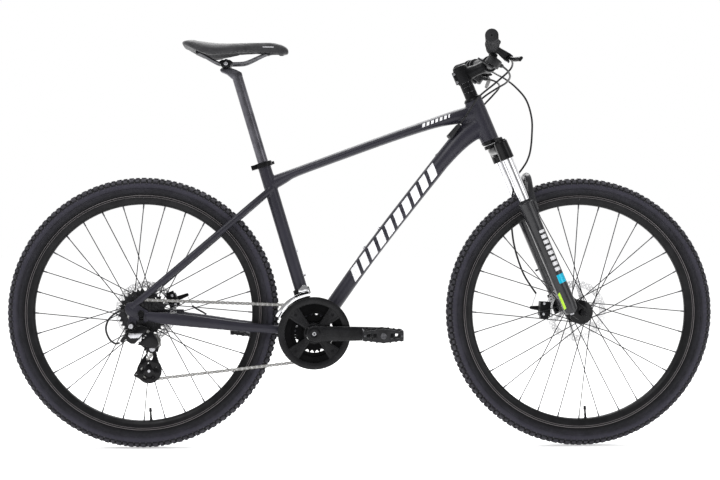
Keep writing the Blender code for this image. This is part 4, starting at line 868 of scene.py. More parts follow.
def make_frame():
    welded("frame_tubes", frame_tubes(), "paint", "frame_body", "frame", 2.3, 6)
    piece("dropouts", dropout_shapes(), "paint", "frame_body", bevel=1.0)
    ports = [rod(Vector((226, side * 15, 800)), Vector((250, side * 25, 832)), 8, 4.6, 24, 0.5)
             for side in (-1, 1)]
    ports.append(rod(Vector((196, 14, 750)), Vector((222, 27, 778)), 8, 4.6, 24, 0.5))
    piece("cable_ports", ports, "plastic", "frame_body")
    cups = [lathe([(-65.6, 15), (-64, 21.8), (-58.6, 24.0), (-57.2, 24.4), (-56.4, 23.6),
                   (-56.4, 15)],
                  HEAD_CENTRE, HEAD_UP, 56),
            lathe([(56.4, 15), (56.4, 23.6), (57.2, 24.4), (58.8, 24.0), (63.4, 21), (64.6, 18.6),
                   (64.6, 15)],
                  HEAD_CENTRE, HEAD_UP, 56)]
    piece("headset_cups", cups, "alloy", "frame_body")
    bolts = []
    down_out = Vector((-0.7955, 0, 0.6060))
    for foot, out in ((Vector((42.8, 0, 564.1)), down_out), (Vector((4.7, 0, 514.3)), down_out),
                      (Vector((-171.0, 0, 506.6)), SEAT_FORWARD),
                      (Vector((-149.8, 0, 444.6)), SEAT_FORWARD)):
        bolts.append(lathe([(-6, 1.4), (-6, 4.9), (1.7, 4.9), (2.4, 4.2), (2.4, 2.3), (0.6, 1.4)],
                           foot, out, 24))
    piece("bottle_bosses", bolts, "steel", "frame_body", slot="frame_paint")
    band = lathe([(-14, 17.4), (-14, 21.2), (-13, 22), (-2, 22), (-1, 21.2), (-1, 17.4)],
                 seat(0, SEAT_TUBE_TOP), SEAT_UP, 48)
    ears = block(seat(-26, 450.5), (7, 9, 6), SEAT_FORWARD, ACROSS)
    piece("seat_clamp", [band, ears], "alloy", "frame_body", ["seat_collar"], bevel=0.8)
    pin = seat(-28, 450.5, 14)
    arm = [(-4, -1), (4, -1), (6.5, 7), (12, 12), (26, 13.2), (40, 14), (52, 15.4), (56, 17.6),
           (52, 20), (40, 19.4), (24, 18.6), (8, 17.6), (0, 10)]
    handle = prism(arm, -4, 4, pin - ACROSS * 3, SEAT_FORWARD, ACROSS)
    barrel = rod(pin - SEAT_UP * 5.5, pin + SEAT_UP * 5.5, 4.5, sides=24, chamfer=0.5)
    piece("seat_clamp_lever", [handle, barrel], "gloss", "seat_release_lever", ["collar_lever"],
          bevel=1.0)


# ---------------------------------------------------------------- seatpost and saddle

# X, half width, and the heights of the top, the skirt's edge and the underside
SADDLE_ROWS = [(-464, 29, 1045.0, 1037, 1034), (-457, 50, 1046, 1029, 1028),
               (-440, 65, 1045, 1019, 1026), (-415, 70, 1041, 1007, 1022),
               (-385, 66, 1037.5, 1001, 1021), (-355, 54, 1036.5, 1005, 1021),
               (-320, 37, 1038, 1011, 1021.5), (-280, 25.5, 1040, 1014, 1022),
               (-240, 21, 1040.5, 1012, 1021.5), (-212, 19.5, 1039, 1009, 1018),
               (-196, 14.5, 1033, 1011, 1013), (-189.5, 7.5, 1026, 1015, 1016)]


# the shallow groove along the saddle, in the skin above SADDLE_TOP
SADDLE_TOP, GROOVE_HALF, GROOVE_DEPTH, GROOVE_BACK, GROOVE_FRONT = 1024, 9.0, 2.6, -455, -225


def saddle_form():
    rings = []
    for x, width, top, skirt, under in catmull([Vector(r) for r in SADDLE_ROWS], 4):
        rise = top - skirt
        half = [(0, top), (0.22 * width, top), (0.45 * width, top - 0.04 * rise),
                (0.66 * width, top - 0.11 * rise), (0.84 * width, top - 0.26 * rise),
                (0.96 * width, top - 0.5 * rise), (width, top - 0.75 * rise), (0.97 * width, skirt),
                (0.84 * width, skirt + 1), (0.66 * width, under), (0.3 * width, under)]
        mirrored = [(-y, z) for y, z in reversed(half) if y > 0]
        rings.append([Vector((x, y, z)) for y, z in half + [(0, under)] + mirrored])
    return skin(rings)


def puffed(obj, cap, pressure, frames=20):
    """Foam under a tight cover: the skin swells, each point by cap millimetres at most."""
    start = [v.co.copy() for v in obj.data.vertices]
    cloth = obj.modifiers.new("cover", "CLOTH")
    cloth.settings.use_pressure = True
    cloth.settings.uniform_pressure_force = pressure
    cloth.settings.effector_weights.gravity = 0
    cloth.settings.quality = 6
    cloth.settings.tension_stiffness = 30
    cloth.settings.compression_stiffness = 30
    for number in range(1, frames + 1):
        bpy.context.scene.frame_set(number)
    applied(obj)
    bpy.context.scene.frame_set(1)
    for vertex, before in zip(obj.data.vertices, start):
        step = vertex.co - before
        if step.length > cap * MM:
            vertex.co = before + step * (cap * MM / step.length)


def make_saddle():
    cover = piece("saddle_cover", saddle_form(), "leather", None, ["saddle"])
    remeshed(cover, 4.0, 2)
    puffed(cover, 2.4, 4.0)
    for vertex in cover.data.vertices:
        x, y, z = vertex.co / MM
        if z > SADDLE_TOP:
            dip = (max(0.0, 1 - (y / GROOVE_HALF) ** 2) * min(max((x - GROOVE_BACK) / 30, 0), 1)
                   * min(max((GROOVE_FRONT - x) / 40, 0), 1))
            vertex.co.z -= GROOVE_DEPTH * MM * dip * dip
    subdivision = cover.modifiers.new("smooth", "SUBSURF")
    subdivision.levels = subdivision.render_levels = 1
    applied(cover)
    cover.data.shade_smooth()
    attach(cover, "saddle_unit")

    edge = [(x, width, skirt + 5)
            for x, width, _, skirt, _ in catmull([Vector(r) for r in SADDLE_ROWS], 4)]
    stitches = []
    for side in (-1, 1):
        line = [Vector((x, y * side, z)) for x, y, z in edge]
        for a, b in zip(line[3:-4], line[4:-3]):
            middle, reach = (a + b) / 2, (b - a).normalized() * 2.0
            ends = []
            for end in (middle - reach, middle, middle + reach):
                _, place, normal, _ = cover.closest_point_on_mesh(end * MM)
                ends.append(place / MM + normal * 0.15)
            stitches.append(tube(ends, 0.5, 6))
    piece("saddle_stitching", stitches, "thread", "saddle_unit")

    rails = []
    for side in (-1, 1):
        route = [(-424, 16, 1015), (-410, 18, 1009), (-400, 19, 1003), (-378, 22, 991),
                 (-362, 22, 987), (-318, 22, 987), (-296, 22, 991), (-262, 15, 1007),
                 (-246, 7, 1013)]
        rails.append(tube(catmull([Vector((x, y * side, z)) for x, y, z in route], 5), 3.5, 16))
    piece("saddle_rail_pair", rails, "dark_steel", "saddle_unit", ["saddle_rails"], slot="steel")
    ends = [block(Vector((-424, 0, 1016)), (5.5, 20, 4.5)),
            block(Vector((-246, 0, 1014)), (6, 11, 4.5))]
    piece("saddle_rail_sockets", ends, "plastic", "saddle_unit", bevel=1.2)
    upper = prism([(-370, 985), (-369, 991), (-362, 995.5), (-342, 995.5), (-335, 991),
                   (-334, 985)], -27, 27)
    lower = prism([(-366, 984), (-338, 984), (-341, 978.6), (-347, 977), (-357, 977),
                   (-363, 978.6)], -27, 27)
    piece("saddle_clamp_jaws", [upper, lower], "forged", "saddle_unit", bevel=1.0)
    bolt = [rod(Vector((-352, 0, 995.5)), Vector((-352, 0, 1000.5)), 4.4, sides=6)]
    bolt += [rod(Vector((-352, s * 27, 986)), Vector((-352, s * 30, 986)), 5.2, sides=24,
                 chamfer=0.8) for s in (-1, 1)]
    piece("saddle_clamp_bolts", bolt, "steel", "saddle_unit", bevel=0.4)

    shaft = rod(seat(0, 348), seat(0, 688), 13.6, sides=48)
    head = prism([(-336, 948), (-320, 950), (-309.5, 955), (-312, 965), (-326, 972), (-338, 976.2),
                  (-364, 976.2), (-368.5, 971), (-365, 966), (-350, 960)], -11, 11)
    piece("seatpost_shaft", shaft, "seatpost", "seatpost_slider", ["seatpost"])
    piece("seatpost_head", head, "seatpost", "seatpost_slider", bevel=2.4, segments=3)


# ---------------------------------------------------------------- fork

def fork_bridge(rows):
    """A bar from leg to leg, from (y, forward, up, half depth, half height) rows."""
    return skin([ellipse(steer(forward, up, y), HEAD_FORWARD, HEAD_UP, depth, height, 28)
                 for y, forward, up, depth, height in catmull([Vector(r) for r in rows], 5)])


def make_fork():
    body = "steering"
    crown = [rod(leg(s, -118), leg(s, -70), 18.5, 17.6, 40) for s in (-1, 1)]
    rows = mirrored([(0, 5, -83, 20, 15), (40, 9, -86, 17, 15), (64, 12, -96, 15, 14)])
    crown.append(fork_bridge(rows))
    crown.append(rod(steer(0, -76), steer(0, -66.5), 21.8, 21.2, 48))
    welded("fork_crown", crown, "gloss", body, "fork_uppers", 1.5, 4)
    piece("fork_stanchions", [rod(leg(s, -400), leg(s, -100), 14, sides=56) for s in (-1, 1)],
          "chrome", body)
    piece("fork_steerer", rod(steer(0, -66), steer(0, 146), 14.3, sides=40), "steel", body)
    caps = [rod(leg(s, -70.4), leg(s, -66.4), 15.4, 14.6, 40, 0.6) for s in (-1, 1)]
    piece("fork_crown_caps", caps, "alloy", body)
    knob_mesh = lathe([(0, 2), (0, 9.5), (6, 9.0), (7.4, 7.6), (7.4, 2)], leg(-1, -66.4), HEAD_UP,
                      18)
    piece("fork_preload_knob", knob_mesh, "plastic", body, bevel=0.3)
    piece("fork_preload_mark", block(leg(-1, -58.9), (1.2, 4.4, 0.25), HEAD_FORWARD, ACROSS),
          "white", body)

    slider = "fork_slider"
    axle_up = (FRONT_AXLE - HEAD_CENTRE).dot(HEAD_UP)
    axle_forward = (FRONT_AXLE - HEAD_CENTRE).dot(HEAD_FORWARD)
    legs = []
    for s in (-1, 1):
        profile = [(-238, 14.7), (-238, 19.4), (-240, 20), (-262, 20), (-300, 19), (-420, 18.6),
                   (-520, 19.2), (-540, 18), (-545, 14), (-545, 6), (-506, 6), (-506, 14.7)]
        legs.append(lathe(list(reversed(profile)), leg(s, 0), HEAD_UP, 48))
    arch_rows = mirrored([(0, 51, -178, 9, 9), (34, 48, -184, 9, 10), (50, 41, -204, 9, 14),
                          (60, 33, -232, 10.5, 18), (66, 27, -262, 13, 22)])
    arch = fork_bridge(arch_rows)
    welded("fork_legs", [*legs, arch], "leg", slider, "fork_lowers", 1.7, 4)
    lugs = []
    for s in (-1, 1):
        lug = [(-4, -497), (29, -497), (40, -530), (axle_forward + 12, axle_up + 9),
               (axle_forward + 13, axle_up), (axle_forward + 11, axle_up - 9),
               (axle_forward + 4.9, axle_up - 13.4), (axle_forward + 4.8, axle_up),
               (axle_forward + 2.6, axle_up + 4.2), (axle_forward, axle_up + 5),
               (axle_forward - 2.6, axle_up + 4.2), (axle_forward - 4.8, axle_up),
               (axle_forward - 4.9, axle_up - 13), (22, axle_up - 12), (6, -545)]
        lugs.append(prism(lug, *sorted((s * 50.5, s * 60)), HEAD_CENTRE, HEAD_FORWARD, HEAD_UP))
    lugs.append(block(steer(-7.3, -518, 59), (5, 7, 27), HEAD_FORWARD, ACROSS))
    piece("fork_dropouts", lugs, "gloss", slider, bevel=1.6)
    seals = [lathe([(-243, 14.15), (-243, 18.6), (-236, 18.2), (-232, 16), (-231.6, 14.15)],
                   leg(s, 0), HEAD_UP, 48) for s in (-1, 1)]
    piece("fork_wiper_seals", seals, "rubber", slider)
    bolts = [rod(leg(s, -545), leg(s, -549.5), 6, sides=6) for s in (-1, 1)]
    piece("fork_foot_bolts", bolts, "steel", slider, bevel=0.5)
    guide = lathe([(-2.2, 2.7), (-2.2, 4.2), (2.2, 4.2), (2.2, 2.7)], steer(-9.6, -420, 70),
                  HEAD_UP, 20)
    piece("fork_hose_guide", guide, "plastic", slider)


def caliper(name, node, centre, outward, away, height, width, rotor_y, body):
    along = outward.cross(ACROSS).normalized()
    gap = centre + ACROSS * (rotor_y - centre.y)
    inner_low, inner_high = -17, rotor_y - centre.y - 1.9
    outer_low, outer_high = rotor_y - centre.y + 1.9, 17
    halves = []
    for low, high in ((inner_low, inner_high), (outer_low, outer_high)):
        halves.append(block(centre + ACROSS * ((low + high) / 2), (width, (high - low) / 2, height),
                            outward, ACROSS))
    bridge = block(gap + outward * (width - 3), (3, 4, height * 0.9), outward, ACROSS)
    foot = block(centre + along * away, (width * 0.75, 13, 6), outward, ACROSS)
    piece(name + "_body", [*halves, bridge, foot], "forged", body, [node], bevel=1.8, segments=3)
    piston = lathe([(12, 3), (12, 14.4), (19, 14), (21, 12.4), (21, 3)], centre, ACROSS, 40)
    piece(name + "_piston_cap", piston, "alloy", body)
    bolts = []
    for shift in (-height * 0.72, height * 0.72):
        at = centre + along * shift + outward * (width * 0.3)
        bolts.append(rod(at - ACROSS * 17, at - ACROSS * 20.5, 3.6, sides=16, chamfer=0.6))
        bolts.append(rod(at + ACROSS * 17, at + ACROSS * 20, 3.6, sides=16, chamfer=0.6))
    piece(name + "_bolts", bolts, "steel", body)


def make_brakes():
    front = steer(-34.5, -519, 43)
    out = (front - FRONT_AXLE - ACROSS * 43).normalized()
    caliper("front_brake", "front_caliper", front, out, 20, 19, 14, FRONT_ROTOR_Y, "fork_slider")
    rear = Vector((-493, 54, 376))
    out = (rear - REAR_AXLE - ACROSS * 54).normalized()
    caliper("rear_brake", "rear_caliper", rear, out, 18, 17, 13, REAR_ROTOR_Y, "frame_body")
    for name, node, place, reach, body in (
            ("front", "front_caliper_arm", front, Vector((-32, 0, 2)), "front_brake_arm"),
            ("rear", "rear_caliper_arm", rear, Vector((36, 0, 14)), "rear_brake_arm")):
        hinge = place + ACROSS * 24
        first = reach.normalized()
        second = first.cross(ACROSS)
        length = reach.length
        outline = folded([(-9, -4), (-5, -8.6), (2, -9.6), (9, -6.6), (length - 4, -4.6),
                          (length + 2, -3.6)],
                         (length + 3, 0))
        arm = prism(outline, -2.0, 2.0, hinge, first, second)
        nut = rod(hinge + ACROSS * 2, hinge + ACROSS * 5, 5, sides=6)
        anchor = rod(hinge + first * (length - 2) + ACROSS * 2,
                     hinge + first * (length - 2) + ACROSS * 4.6, 3.4, sides=16)
        piece(f"{name}_brake_arm_plate", [arm, nut, anchor], "alloy", body, [node], bevel=0.5)


def make_skewers():
    for name, axle, width, slab, body, lever_body, direction in (
            ("front", FRONT_AXLE, 100, 10, "fork_slider", "front_release_lever", HEAD_UP),
            ("rear", REAR_AXLE, 135, 6.1, "frame_body", "rear_release_lever",
             Vector((-0.6, 0, 0.8)))):
        edge = width / 2 + slab + 0.1
        nut = lathe([(-edge - 12, 1.5), (-edge - 12, 6.4), (-edge - 11, 7.4), (-edge - 1.6, 8.6),
                     (-edge - 0.3, 8.6), (-edge - 0.3, 1.5)], axle, ACROSS, 32)
        head = lathe([(edge + 0.3, 1.5), (edge + 0.3, 9), (edge + 6, 9), (edge + 7, 7.8),
                      (edge + 7, 1.5)],
                     axle, ACROSS, 40)
        shaft = rod(axle - ACROSS * (edge + 13), axle + ACROSS * (edge + 5), 2.6, sides=20)
        piece(f"{name}_skewer_ends", [nut, head, shaft], "alloy", body, [f"{name}_skewer"],
              bevel=0.5)
        pin = axle + ACROSS * (edge + 13.5)
        sideways = ACROSS.cross(direction)
        outline = [(-5, -3.4), (0, -5.6), (6, -3.6), (16, -2.6), (30, -5.4), (46, -9), (57, -11.6),
                   (61, -10), (61, -7.4), (54, -4.6), (42, -0.6), (30, 3.2), (16, 5.6), (4, 5.6),
                   (-3, 4.4)]
        handle = prism(outline, -5.6, 5.6, pin, direction, ACROSS)
        cam = rod(pin - sideways * 7, pin + sideways * 7, 5.9, sides=32, chamfer=0.6)
        piece(f"{name}_skewer_lever", [handle, cam], "gloss", lever_body, [f"{name}_qr_lever"],
              bevel=1.4, segments=3)


# ---------------------------------------------------------------- cockpit

def bar_point(side, out):
    """The handlebar's axis at a distance out along one side, measured across the bike."""
    ease = min(max((out - 58) / 50, 0), 1)
    rise = BAR_RISE * (3 * ease ** 2 - 2 * ease ** 3)
    past = max(out - 83, 0)
    swept = Vector((-past * tan(BACKSWEEP), side * out, rise + past * tan(UPSWEEP)))
    return steer(BAR_FORWARD, BAR_UP) + swept


def control(side, droop, out):
    """The outward and forward axes of a control on the bar, its upward axis and its clamp's
    place, and a way to its points as distances along the three axes."""
    outward = (bar_point(side, 300) - bar_point(side, 200)).normalized()
    forward = Vector((cos(droop), 0, -sin(droop)))
    forward = (forward - outward * forward.dot(outward)).normalized()
    above = (forward.cross(outward) * side).normalized()
    place = bar_point(side, out)

    def at(along, ahead, up):
        return place + outward * along + forward * ahead + above * up

    return outward, forward, above, place, at


def make_stem():
    body = "steering"
    rings = []
    for low, high in ((64.9, 79.6), (80, 94.6), (95, 105)):
        profile = [(low, 14.6), (low, 16.6), (low + 0.5, 17), (high - 0.5, 17), (high, 16.6),
                   (high, 14.6)]
        rings.append(lathe(profile, HEAD_CENTRE, HEAD_UP, 48))
    piece("stem_spacers", rings, "alloy", body)
    shapes = [rod(steer(0, 105.4), steer(0, 148), 19.2, sides=48),
              loft([(steer(8, BAR_UP), 18, 15), (steer(24, BAR_UP), 16, 14),
                    (steer(40, BAR_UP), 14.5, 15), (steer(54, BAR_UP), 15.5, 18),
                    (steer(64, BAR_UP), 17.5, 20)], 40),
              rod(steer(BAR_FORWARD, BAR_UP, -22), steer(BAR_FORWARD, BAR_UP, 22), 21, sides=48)]
    welded("stem_body", shapes, "forged", body, "stem", 1.4, 3)
    cap = lathe([(148.2, 2.5), (148.2, 18.4), (150.4, 18.4), (152, 16.4), (152, 6), (150.2, 5.4),
                 (150.2, 2.5)],
                HEAD_CENTRE, HEAD_UP, 48)
    piece("stem_top_cap", cap, "gloss", body)
    clamp = [block(steer(-20, BAR_UP), (4, 7, 17), HEAD_FORWARD, ACROSS)]
    piece("stem_pinch_ears", clamp, "forged", body, bevel=1.4)
    bolts = [rod(steer(-20, h, -9.5), steer(-20, h, 9.5), 3.4, sides=16, chamfer=0.6)
             for h in (115, 137)]
    for up in (-14, 14):
        for y in (-15, 15):
            at = steer(BAR_FORWARD + 15, BAR_UP + up, y)
            bolts.append(rod(at, at + HEAD_FORWARD * 6.5, 3.6, sides=16, chamfer=0.6))
    bolts.append(rod(steer(0, 149), steer(0, 151.6), 4.6, sides=6))
    piece("stem_bolts", bolts, "steel", body)
    faceplate = []
    for y in (-15, 15):
        faceplate.append(block(steer(BAR_FORWARD + 13, BAR_UP, y), (7, 5, 17.5), HEAD_FORWARD,
                               ACROSS))
    piece("stem_faceplate", faceplate, "forged", body, bevel=1.8, segments=3)


def make_bar():
    half = [30, 46, 56, 66, 76, 86, 96, 106, 118, 170, 240, 300, 362]
    outs = [-out for out in reversed(half)] + half
    rings = []
    points = [bar_point(1 if out > 0 else -1, abs(out)) for out in outs]
    for i, out in enumerate(outs):
        ease = min(max((80 - abs(out)) / 22, 0), 1)
        radius = 11.1 + 4.8 * ease * ease * (3 - 2 * ease)
        along = (points[min(i + 1, len(outs) - 1)] - points[max(i - 1, 0)]).normalized()
        side, up = across_axes(along)
        rings.append(ellipse(points[i], side, up, radius, radius, 40))
    piece("handlebar_tube", skin(rings), "alloy", "steering", ["handlebar"], angle=60)


def make_grip(side):
    word = HANDS[side]
    inner, outer = bar_point(side, 236), bar_point(side, 364)
    axis, length = (outer - inner).normalized(), (outer - inner).length
    profile = [(0, 11.3), (0, 17), (1.2, 18), (4.6, 18), (6, 16.6)]
    count = 30
    for k in range(count):
        start = 7 + (length - 12) * k / count
        step = (length - 12) / count
        profile += [(start, 14.7), (start + step * 0.25, 15.9), (start + step * 0.7, 15.9),
                    (start + step * 0.95, 14.7)]
    profile += [(length - 3, 16), (length + 2, 16), (length + 3.4, 14.6), (length + 3.4, 2.0),
                (length - 2, 2.0), (length - 2, 11.3)]
    piece(f"grip_{word}_sleeve", lathe(profile, inner, axis, 56), "rubber", "steering",
          [f"grip_{word}"], angle=50)


def make_brake_control(side):
    word = HANDS[side]
    outward, forward, above, place, at = control(side, radians(35), 214)
    clamp = lathe([(-7, 11.3), (-7, 15.6), (-6, 16.5), (6, 16.5), (7, 15.6), (7, 11.3)], place,
                  outward, 48)
    rows = [((-6, 10, 0), 12, 8), ((-8, 22, 0), 10, 8), ((-12, 34, 0), 9, 10),
            ((-16, 44, 0), 8.5, 10.5)]
    arm = skin([ellipse(at(*p), outward, above, a, b, 28) for p, a, b in rows])
    prongs = [block(at(-16, 47, u), (9.5, 8.5, 2.2), outward, forward) for u in (-7.4, 7.4)]
    bracket = [clamp, arm, *prongs]
    piece(f"brake_perch_{word}", bracket, "forged", "steering", [f"brake_bracket_{word}"],
          bevel=1.3, segments=3)
    start, mouth = at(-17, 37, 0), Vector((348, side * 181, 992.5))
    reach = (mouth - start).length
    barrel = lathe([(0, 2.6), (0, 4.6), (reach - 9, 5.4), (reach - 2, 5.2), (reach, 4.0),
                    (reach, 2.6)], start,
                   (mouth - start).normalized(), 14)
    piece(f"brake_adjuster_{word}", barrel, "alloy", "steering")
    screws = [rod(at(-16, 46, -9.6), at(-16, 46, -11.2), 3.6, sides=16, chamfer=0.4),
              rod(at(-16, 46, 9.6), at(-16, 46, 11.2), 3.6, sides=16, chamfer=0.4)]
    piece(f"brake_perch_screws_{word}", screws, "steel", "steering")

    hinge = at(-16, 46, 0)
    line = [(-2, 0), (10, 5), (24, 14), (42, 20), (62, 25), (84, 30), (100, 34), (108, 36),
            (112.5, 37.5)]
    half_out = [5.4, 6.2, 6.4, 5.6, 5.2, 5.0, 5.4, 4.4, 2.4]
    rings = []
    for (a, b), thick in zip(line, half_out):
        rings.append(ellipse(hinge + outward * a + forward * b, forward, above, thick,
                             4.2 + 2.2 * min(a / 60, 1), 20))
    blade = skin(rings)
    eye = rod(hinge - above * 4.2, hinge + above * 4.2, 6, sides=24, chamfer=0.5)
    end = hinge + outward * 112 + forward * 37
    tip = rod(end - above * 6.2, end + above * 6.2, 4.0, sides=24, chamfer=1.6)
    piece(f"brake_blade_{word}", [blade, eye, tip], "alloy", f"{word}_brake_lever",
          [f"brake_lever_{word}"], angle=50)


def make_shifter(side):
    word = HANDS[side]
    outward, forward, above, place, at = control(side, radians(34), 182)
    clamp = lathe([(-6, 11.3), (-6, 15.8), (-5, 16.5), (5, 16.5), (6, 15.8), (6, 11.3)], place,
                  outward, 48)
    neck = block(at(0, 12, -15), (6, 9, 7), outward, forward)
    outline = [(-20, 6), (-12, 3.6), (6, 3.6), (13, 7), (18, 18), (17, 28), (11, 36), (0, 39.4),
               (-10, 39.4), (-19, 34), (-22, 26), (-22, 14)]
    pod = prism(outline, -10, 10, at(0, 0, -27), outward, forward)
    piece(f"shifter_pod_{word}", [clamp, neck, pod], "plastic", "steering", [f"shifter_{word}"],
          bevel=3.0, segments=4)
    hood = [(-16, -14), (6, -14), (9, -10), (9, 4), (5, 9), (-13, 9), (-17, 4), (-17, -10)]
    piece(f"shifter_hood_{word}", prism(hood, 14.6, 25.2, place, outward, forward), "plastic",
          "steering", bevel=2.6, segments=3)
    glass = prism([(-12, -9), (3, -9), (5, -6), (5, 1), (2, 4), (-10, 4), (-13, 1), (-13, -6)],
                  24.6, 26.0, place, outward, forward)
    piece(f"shifter_window_{word}", glass, "window", "steering", bevel=0.4)
    start, mouth = at(-15, 26, -27), Vector((344, side * 148, 968))
    reach = (mouth - start).length
    barrel = lathe([(0, 2.6), (0, 4.8), (reach - 10, 4.8), (reach - 9, 5.4), (reach - 2, 5.0),
                    (reach, 3.8), (reach, 2.6)], start, (mouth - start).normalized(), 12)
    piece(f"shifter_adjuster_{word}", barrel, "plastic", "steering")

    pin = at(-2, 22, -40.5)
    disc = rod(pin - above * 2.5, pin + above * 3.2, 8, sides=32, chamfer=0.7)
    pad = [(0, 4), (-3, -2), (-3, -30), (0, -37), (5, -38.4), (10, -36), (11.5, -28), (10, -8),
           (8, 3)]
    paddle = prism(pad, -2.4, 1.6, pin, outward, forward)
    piece(f"shifter_paddle_{word}", [disc, paddle], "plastic", f"{word}_shift_lever",
          [f"shift_lever_{word}"], bevel=1.0)


# ---------------------------------------------------------------- chain and gears

CHAIN_PITCH, CHAIN_Y = 12.7, -49
CHAINRINGS, RING_ON = ((24, -41.5), (34, -49), (44, -56)), 34
COGS, COG_STEP, COG_ON = (11, 13, 15, 17, 20, 23, 26, 30), 4.8, 3
JOCKEY_TEETH, CRANK_LENGTH, CRANK_FACE_Y = 11, 170, 76
GUARD_RADIUS, GUARD_Y = 92.5, -62.5
RING_BOLT_RADIUS, GUARD_SCREW_RADIUS = 56, 66
WINDOW_OUTER, WINDOW_INNER = 75, 26
UPPER_JOCKEY, LOWER_JOCKEY = Vector((-541, -49, 272)), Vector((-545, -49, 201))
HANGER = Vector((-587, 0, 316))


def pitch_radius(teeth):
    return CHAIN_PITCH / (2 * sin(pi / teeth))


def tangent(first, second):
    """The directed line that leaves one (centre, signed radius) circle and meets the next."""
    (c1, r1), (c2, r2) = first, second
    gap = c2 - c1
    angle = atan2(gap.z, gap.x) - asin((r2 - r1) / hypot(gap.x, gap.z))
    normal = Vector((-sin(angle), 0, cos(angle)))
    return c1 - normal * r1, c2 - normal * r2, normal


def chain_line():
    """The chain's loop as close points: the cog, both guide wheels and the ring in turn."""
    circles = [(BOTTOM_BRACKET, pitch_radius(RING_ON)), (REAR_AXLE, pitch_radius(COGS[COG_ON])),
               (UPPER_JOCKEY - ACROSS * CHAIN_Y, -pitch_radius(JOCKEY_TEETH)),
               (LOWER_JOCKEY - ACROSS * CHAIN_Y, pitch_radius(JOCKEY_TEETH))]
    lines = [tangent(circles[i], circles[(i + 1) % 4]) for i in range(4)]
    path = []
    for i in range(4):
        centre, radius = circles[(i + 1) % 4]
        start, end = lines[i][2], lines[(i + 1) % 4][2]
        turn = atan2(end.z, end.x) - atan2(start.z, start.x)
        turn = turn % (2 * pi) if radius > 0 else -((-turn) % (2 * pi))
        steps = max(6, ceil(abs(degrees(turn)) / 1.5))
        for k in range(steps + 1):
            angle = atan2(start.z, start.x) + turn * k / steps
            path.append(centre - around(angle) * radius)
    return path


def chain_pins():
    """The pins along the loop, an even number of them so that inner and outer links alternate."""
    path = chain_line()
    loop = path + [path[0]]
    lengths = [(b - a).length for a, b in zip(loop, loop[1:])]
    count = 2 * round(sum(lengths) / CHAIN_PITCH / 2)
    step, pins, walked, target = sum(lengths) / count, [], 0.0, 0.0
    for a, b, length in zip(loop, loop[1:], lengths):
        while target <= walked + length and len(pins) < count:
            pins.append(a + (b - a) * ((target - walked) / length))
            target += step
        walked += length
    return pins


def link_outline(length):
    """A chain plate's outline round two pins, waisted between them."""
    end = [(-4.1 * cos(t), 4.1 * sin(t)) for t in (radians(-110 + 20 * k) for k in range(12))]
    far = [(length - x, -z) for x, z in end]
    return end + [(length / 2, 2.9)] + far + [(length / 2, -2.9)]


def make_chain():
    pins = chain_pins()
    inner, outer, rollers, rivets = [], [], [], []
    for k, pin in enumerate(pins):
        after = pins[(k + 1) % len(pins)]
        along = (after - pin).normalized()
        up = Vector((-along.z, 0, along.x))
        outline = link_outline((after - pin).length)
        for side in (-1, 1):
            if k % 2:
                outer.append(prism(outline, *sorted((side * 2.5, side * 3.4)),
                                   pin + ACROSS * CHAIN_Y, along, up))
            else:
                inner.append(prism(outline, *sorted((side * 1.4, side * 2.4)),
                                   pin + ACROSS * CHAIN_Y, along, up))
        place = pin + ACROSS * CHAIN_Y
        rollers.append(rod(place - ACROSS * 1.4, place + ACROSS * 1.4, 3.85, sides=14))
        rivets.append(rod(place - ACROSS * 3.75, place + ACROSS * 3.75, 1.7, sides=10))
    piece("chain_inner_plates", inner, "chain", "frame_body", ["chain"])
    piece("chain_outer_plates", outer, "chain", "frame_body")
    piece("chain_rollers", rollers, "chain", "frame_body")
    piece("chain_rivets", rivets, "steel", "frame_body", slot="chain_steel")
    return pins


def gear_phase(pins, centre, teeth):
    """The angle of a tooth gap that holds a pin, read from a pin on the gear's own circle."""
    radius = pitch_radius(teeth)
    near = [p for p in pins if abs(hypot(p.x - centre.x, p.z - centre.z) - radius) < 0.6]
    if not near:
        return 0.0
    pin = near[len(near) // 2]
    return atan2(pin.z - centre.z, pin.x - centre.x)


def toothed(teeth, phase=0.0, depth=3.95, tip=2.9):
    """A sprocket's outline: round gaps for the chain's rollers between narrow teeth."""
    radius = pitch_radius(teeth)
    outline = []
    for k in range(teeth):
        for part, reach in ((-0.36, 0.6), (-0.2, -2.6), (-0.09, -depth + 0.25), (0, -depth),
                            (0.09, -depth + 0.25), (0.2, -2.6), (0.36, 0.6), (0.45, tip),
                            (0.55, tip)):
            t = phase + 2 * pi * (k + part) / teeth
            outline.append(((radius + reach) * cos(t), (radius + reach) * sin(t)))
    return outline


def sector(inner, outer, start, stop, count=6):
    """A window between two radii and two angles."""
    turns = [start + (stop - start) * k / (count - 1) for k in range(count)]
    return ([(outer * cos(t), outer * sin(t)) for t in turns]
            + [(inner * cos(t), inner * sin(t)) for t in reversed(turns)])


